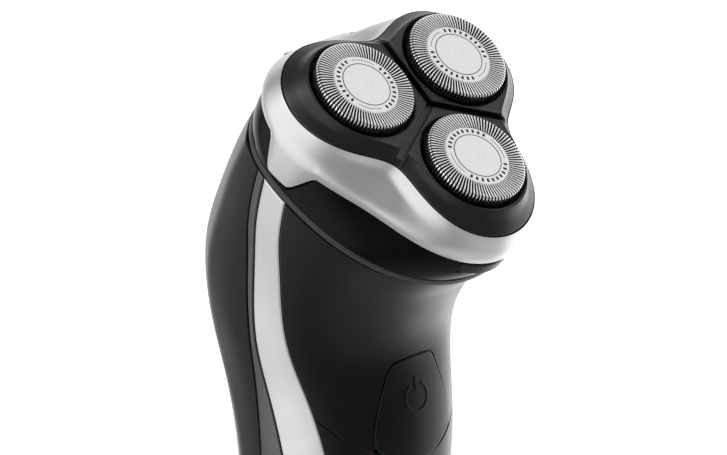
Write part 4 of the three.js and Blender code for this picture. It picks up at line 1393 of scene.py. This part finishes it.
def make_slider():
    corners = [arc((x, z), 1.2, start, start + 90, 8) for x, z, start in
               ((3.3, 93.8, 0), (-3.3, 93.8, 90), (-3.3, 87.2, 180), (3.3, 87.2, 270))]
    outline = resample(np.concatenate(corners), 0.5)
    outline = locate(outline[:, 0], outline[:, 1], back=True)
    middle = outline[:, 1].mean()

    def relief(points):
        along = points[:, 1] - middle
        ridges = 0.5 - 0.5 * np.cos(2 * np.pi * along / 1.3)
        return 0.45 * ridges * smooth((3.2 - np.abs(along)) / 0.4)

    pad = plate([outline], lambda p: contains(outline, p),
                lambda p, inset: on_handle(p, inset - 1.15), 0.3, 0.9, 0.35, relief=relief)
    stem = box((-2.5, 22, 88.2), (2.5, 29.2, 92.8), 0.4)
    make_piece("trimmer_slider", merge(pad, stem), "slider", LOOKS["grey_plastic"])


# ---------------------------------------------------------------- carried-over CAD nodes

CARRIED = {
    "charging_socket": "grey_plastic",
    "contact_pin_left": "brass",
    "contact_pin_right": "brass",
    "chassis": "grey_plastic",
    "battery": "cell_wrap",
    "circuit_board": "board_green",
    "power_switch": "grey_plastic",
    "motor": "motor_can",
    "motor_pinion": "brass",
    "gear_plate": "grey_plastic",
    "unit_hinge_pin": "blade_steel",
    "trimmer_pin": "blade_steel",
}
CARRIED.update({f"gear_plate_screw_{i}": "blade_steel" for i in (1, 2, 3)})
CARRIED.update({f"drive_gear_{i}": "white_nylon" for i in (1, 2, 3)})


def dress_cad():
    for node, look in CARRIED.items():
        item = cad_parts[node]
        if item.data.materials:
            item.material_slots[0].material = LOOKS[look]
        else:
            item.data.materials.append(LOOKS[look])


# ---------------------------------------------------------------- stage, light and camera


STAGE_RADIUS = 5
STAGE_WALL = 6


def make_stage():
    """A white studio cove all round the part. It is only the backdrop: light passes through it."""
    angles = np.linspace(0, 2 * np.pi, 96, endpoint=False)
    bend = np.radians(np.linspace(0, 90, 12))
    profile = [(0.01, 0.0), *((STAGE_RADIUS + np.sin(a), 1 - np.cos(a)) for a in bend),
               (STAGE_RADIUS + 1, STAGE_WALL)]
    rings = [np.stack([r * np.cos(angles), r * np.sin(angles), np.full(96, z)], -1) for r, z in profile]
    points, faces = loft(rings)
    mesh = bpy.data.meshes.new("floor")
    mesh.from_pydata(points.tolist(), [], faces + [tuple(range(96))])
    floor = bpy.data.objects.new("floor", mesh)
    bpy.context.scene.collection.objects.link(floor)
    look = Look("floor_paint", (0.8, 0.8, 0.8), 0.8, specular=0.1)
    look.vary_roughness(look.noise(40, 2), 0.03)
    look.shader.inputs["Emission Color"].default_value = (1, 1, 1, 1)
    look.shader.inputs["Emission Strength"].default_value = 0.72
    mesh.materials.append(look.material)
    floor.visible_glossy = False
    floor.visible_diffuse = False
    floor.visible_shadow = False


# Soft lights of the studio: direction, cosines of the outer and inner edge, strength.
ROOM = 0.30
SOFTBOXES = [
    ((-0.93, 0.28, 0.12), 0.45, 0.85, 0.95),     # key, left
    ((-0.55, 0.35, 0.75), 0.975, 0.99, 3.5),     # small bright lamp above the key
    ((0.66, 0.66, -0.36), 0.45, 0.85, 0.75),     # white wall behind
    ((0.72, -0.30, 0.62), 0.60, 0.95, 0.60),     # fill over the right shoulder
    ((0.97, -0.12, -0.30), 0.70, 0.93, 1.3),     # strip behind, on the right
    ((0.10, -0.35, -0.93), 0.60, 0.98, 0.40),    # light back from the table
]


def make_world():
    """A dim room with a few large soft lights."""
    world = bpy.data.worlds.new("studio")
    world.use_nodes = True
    nodes, links = world.node_tree.nodes, world.node_tree.links
    direction = nodes.new("ShaderNodeTexCoord").outputs["Generated"]
    total = None
    for axis, outer, inner, strength in SOFTBOXES:
        dot = nodes.new("ShaderNodeVectorMath")
        dot.operation = "DOT_PRODUCT"
        links.new(direction, dot.inputs[0])
        dot.inputs[1].default_value = Vector(axis).normalized()
        edge = nodes.new("ShaderNodeMapRange")
        edge.interpolation_type = "SMOOTHSTEP"
        edge.inputs["From Min"].default_value = outer
        edge.inputs["From Max"].default_value = inner
        edge.inputs["To Max"].default_value = strength
        links.new(dot.outputs["Value"], edge.inputs["Value"])
        add = nodes.new("ShaderNodeMath")
        add.operation = "ADD"
        links.new(edge.outputs[0], add.inputs[0])
        if total is None:
            add.inputs[1].default_value = ROOM
        else:
            links.new(total, add.inputs[1])
        total = add.outputs[0]
    background = nodes["Background"]
    links.new(total, background.inputs["Strength"])
    background.inputs["Color"].default_value = (1, 1, 1, 1)
    bpy.context.scene.world = world


VIEW = np.array([-0.6571, -0.6640, 0.3567])     # towards the camera
RIGHT = np.array([0.7108, -0.7034, 0.0])
UP = np.cross(VIEW, RIGHT)
DISTANCE = 1000
LENS = 238.38


def make_camera():
    data = bpy.data.cameras.new("camera")
    data.lens = LENS
    data.sensor_width = 36
    data.clip_start = 0.05
    camera = bpy.data.objects.new("camera", data)
    camera.location = Vector(HEAD_CENTRE + VIEW * DISTANCE - RIGHT * 14.77 - UP * 26.98) * MM
    axes = Matrix([RIGHT, UP, VIEW]).transposed()
    camera.rotation_mode = "QUATERNION"
    camera.rotation_quaternion = axes.to_quaternion()
    bpy.context.scene.collection.objects.link(camera)
    bpy.context.scene.camera = camera


make_front()
make_sides()
make_back()
make_button()
make_base()
make_collar()
make_rim()
make_release()
make_bezel()
make_holder()
make_caps()
make_discs()
make_cutters()
make_retainer()
make_lock()
make_spindles()
make_trimmer()
make_comb("trimmer_comb", "trimmer", 11, -2, 2.6, 14, 0.8, 0)
make_comb("trimmer_blade", "trimmer_knife", 9, -1.2, 2.6, 12, 0.8, -1.3)
make_slider()
dress_cad()

make_stage()
make_world()
make_camera()
bpy.context.scene.view_settings.view_transform = "Standard"
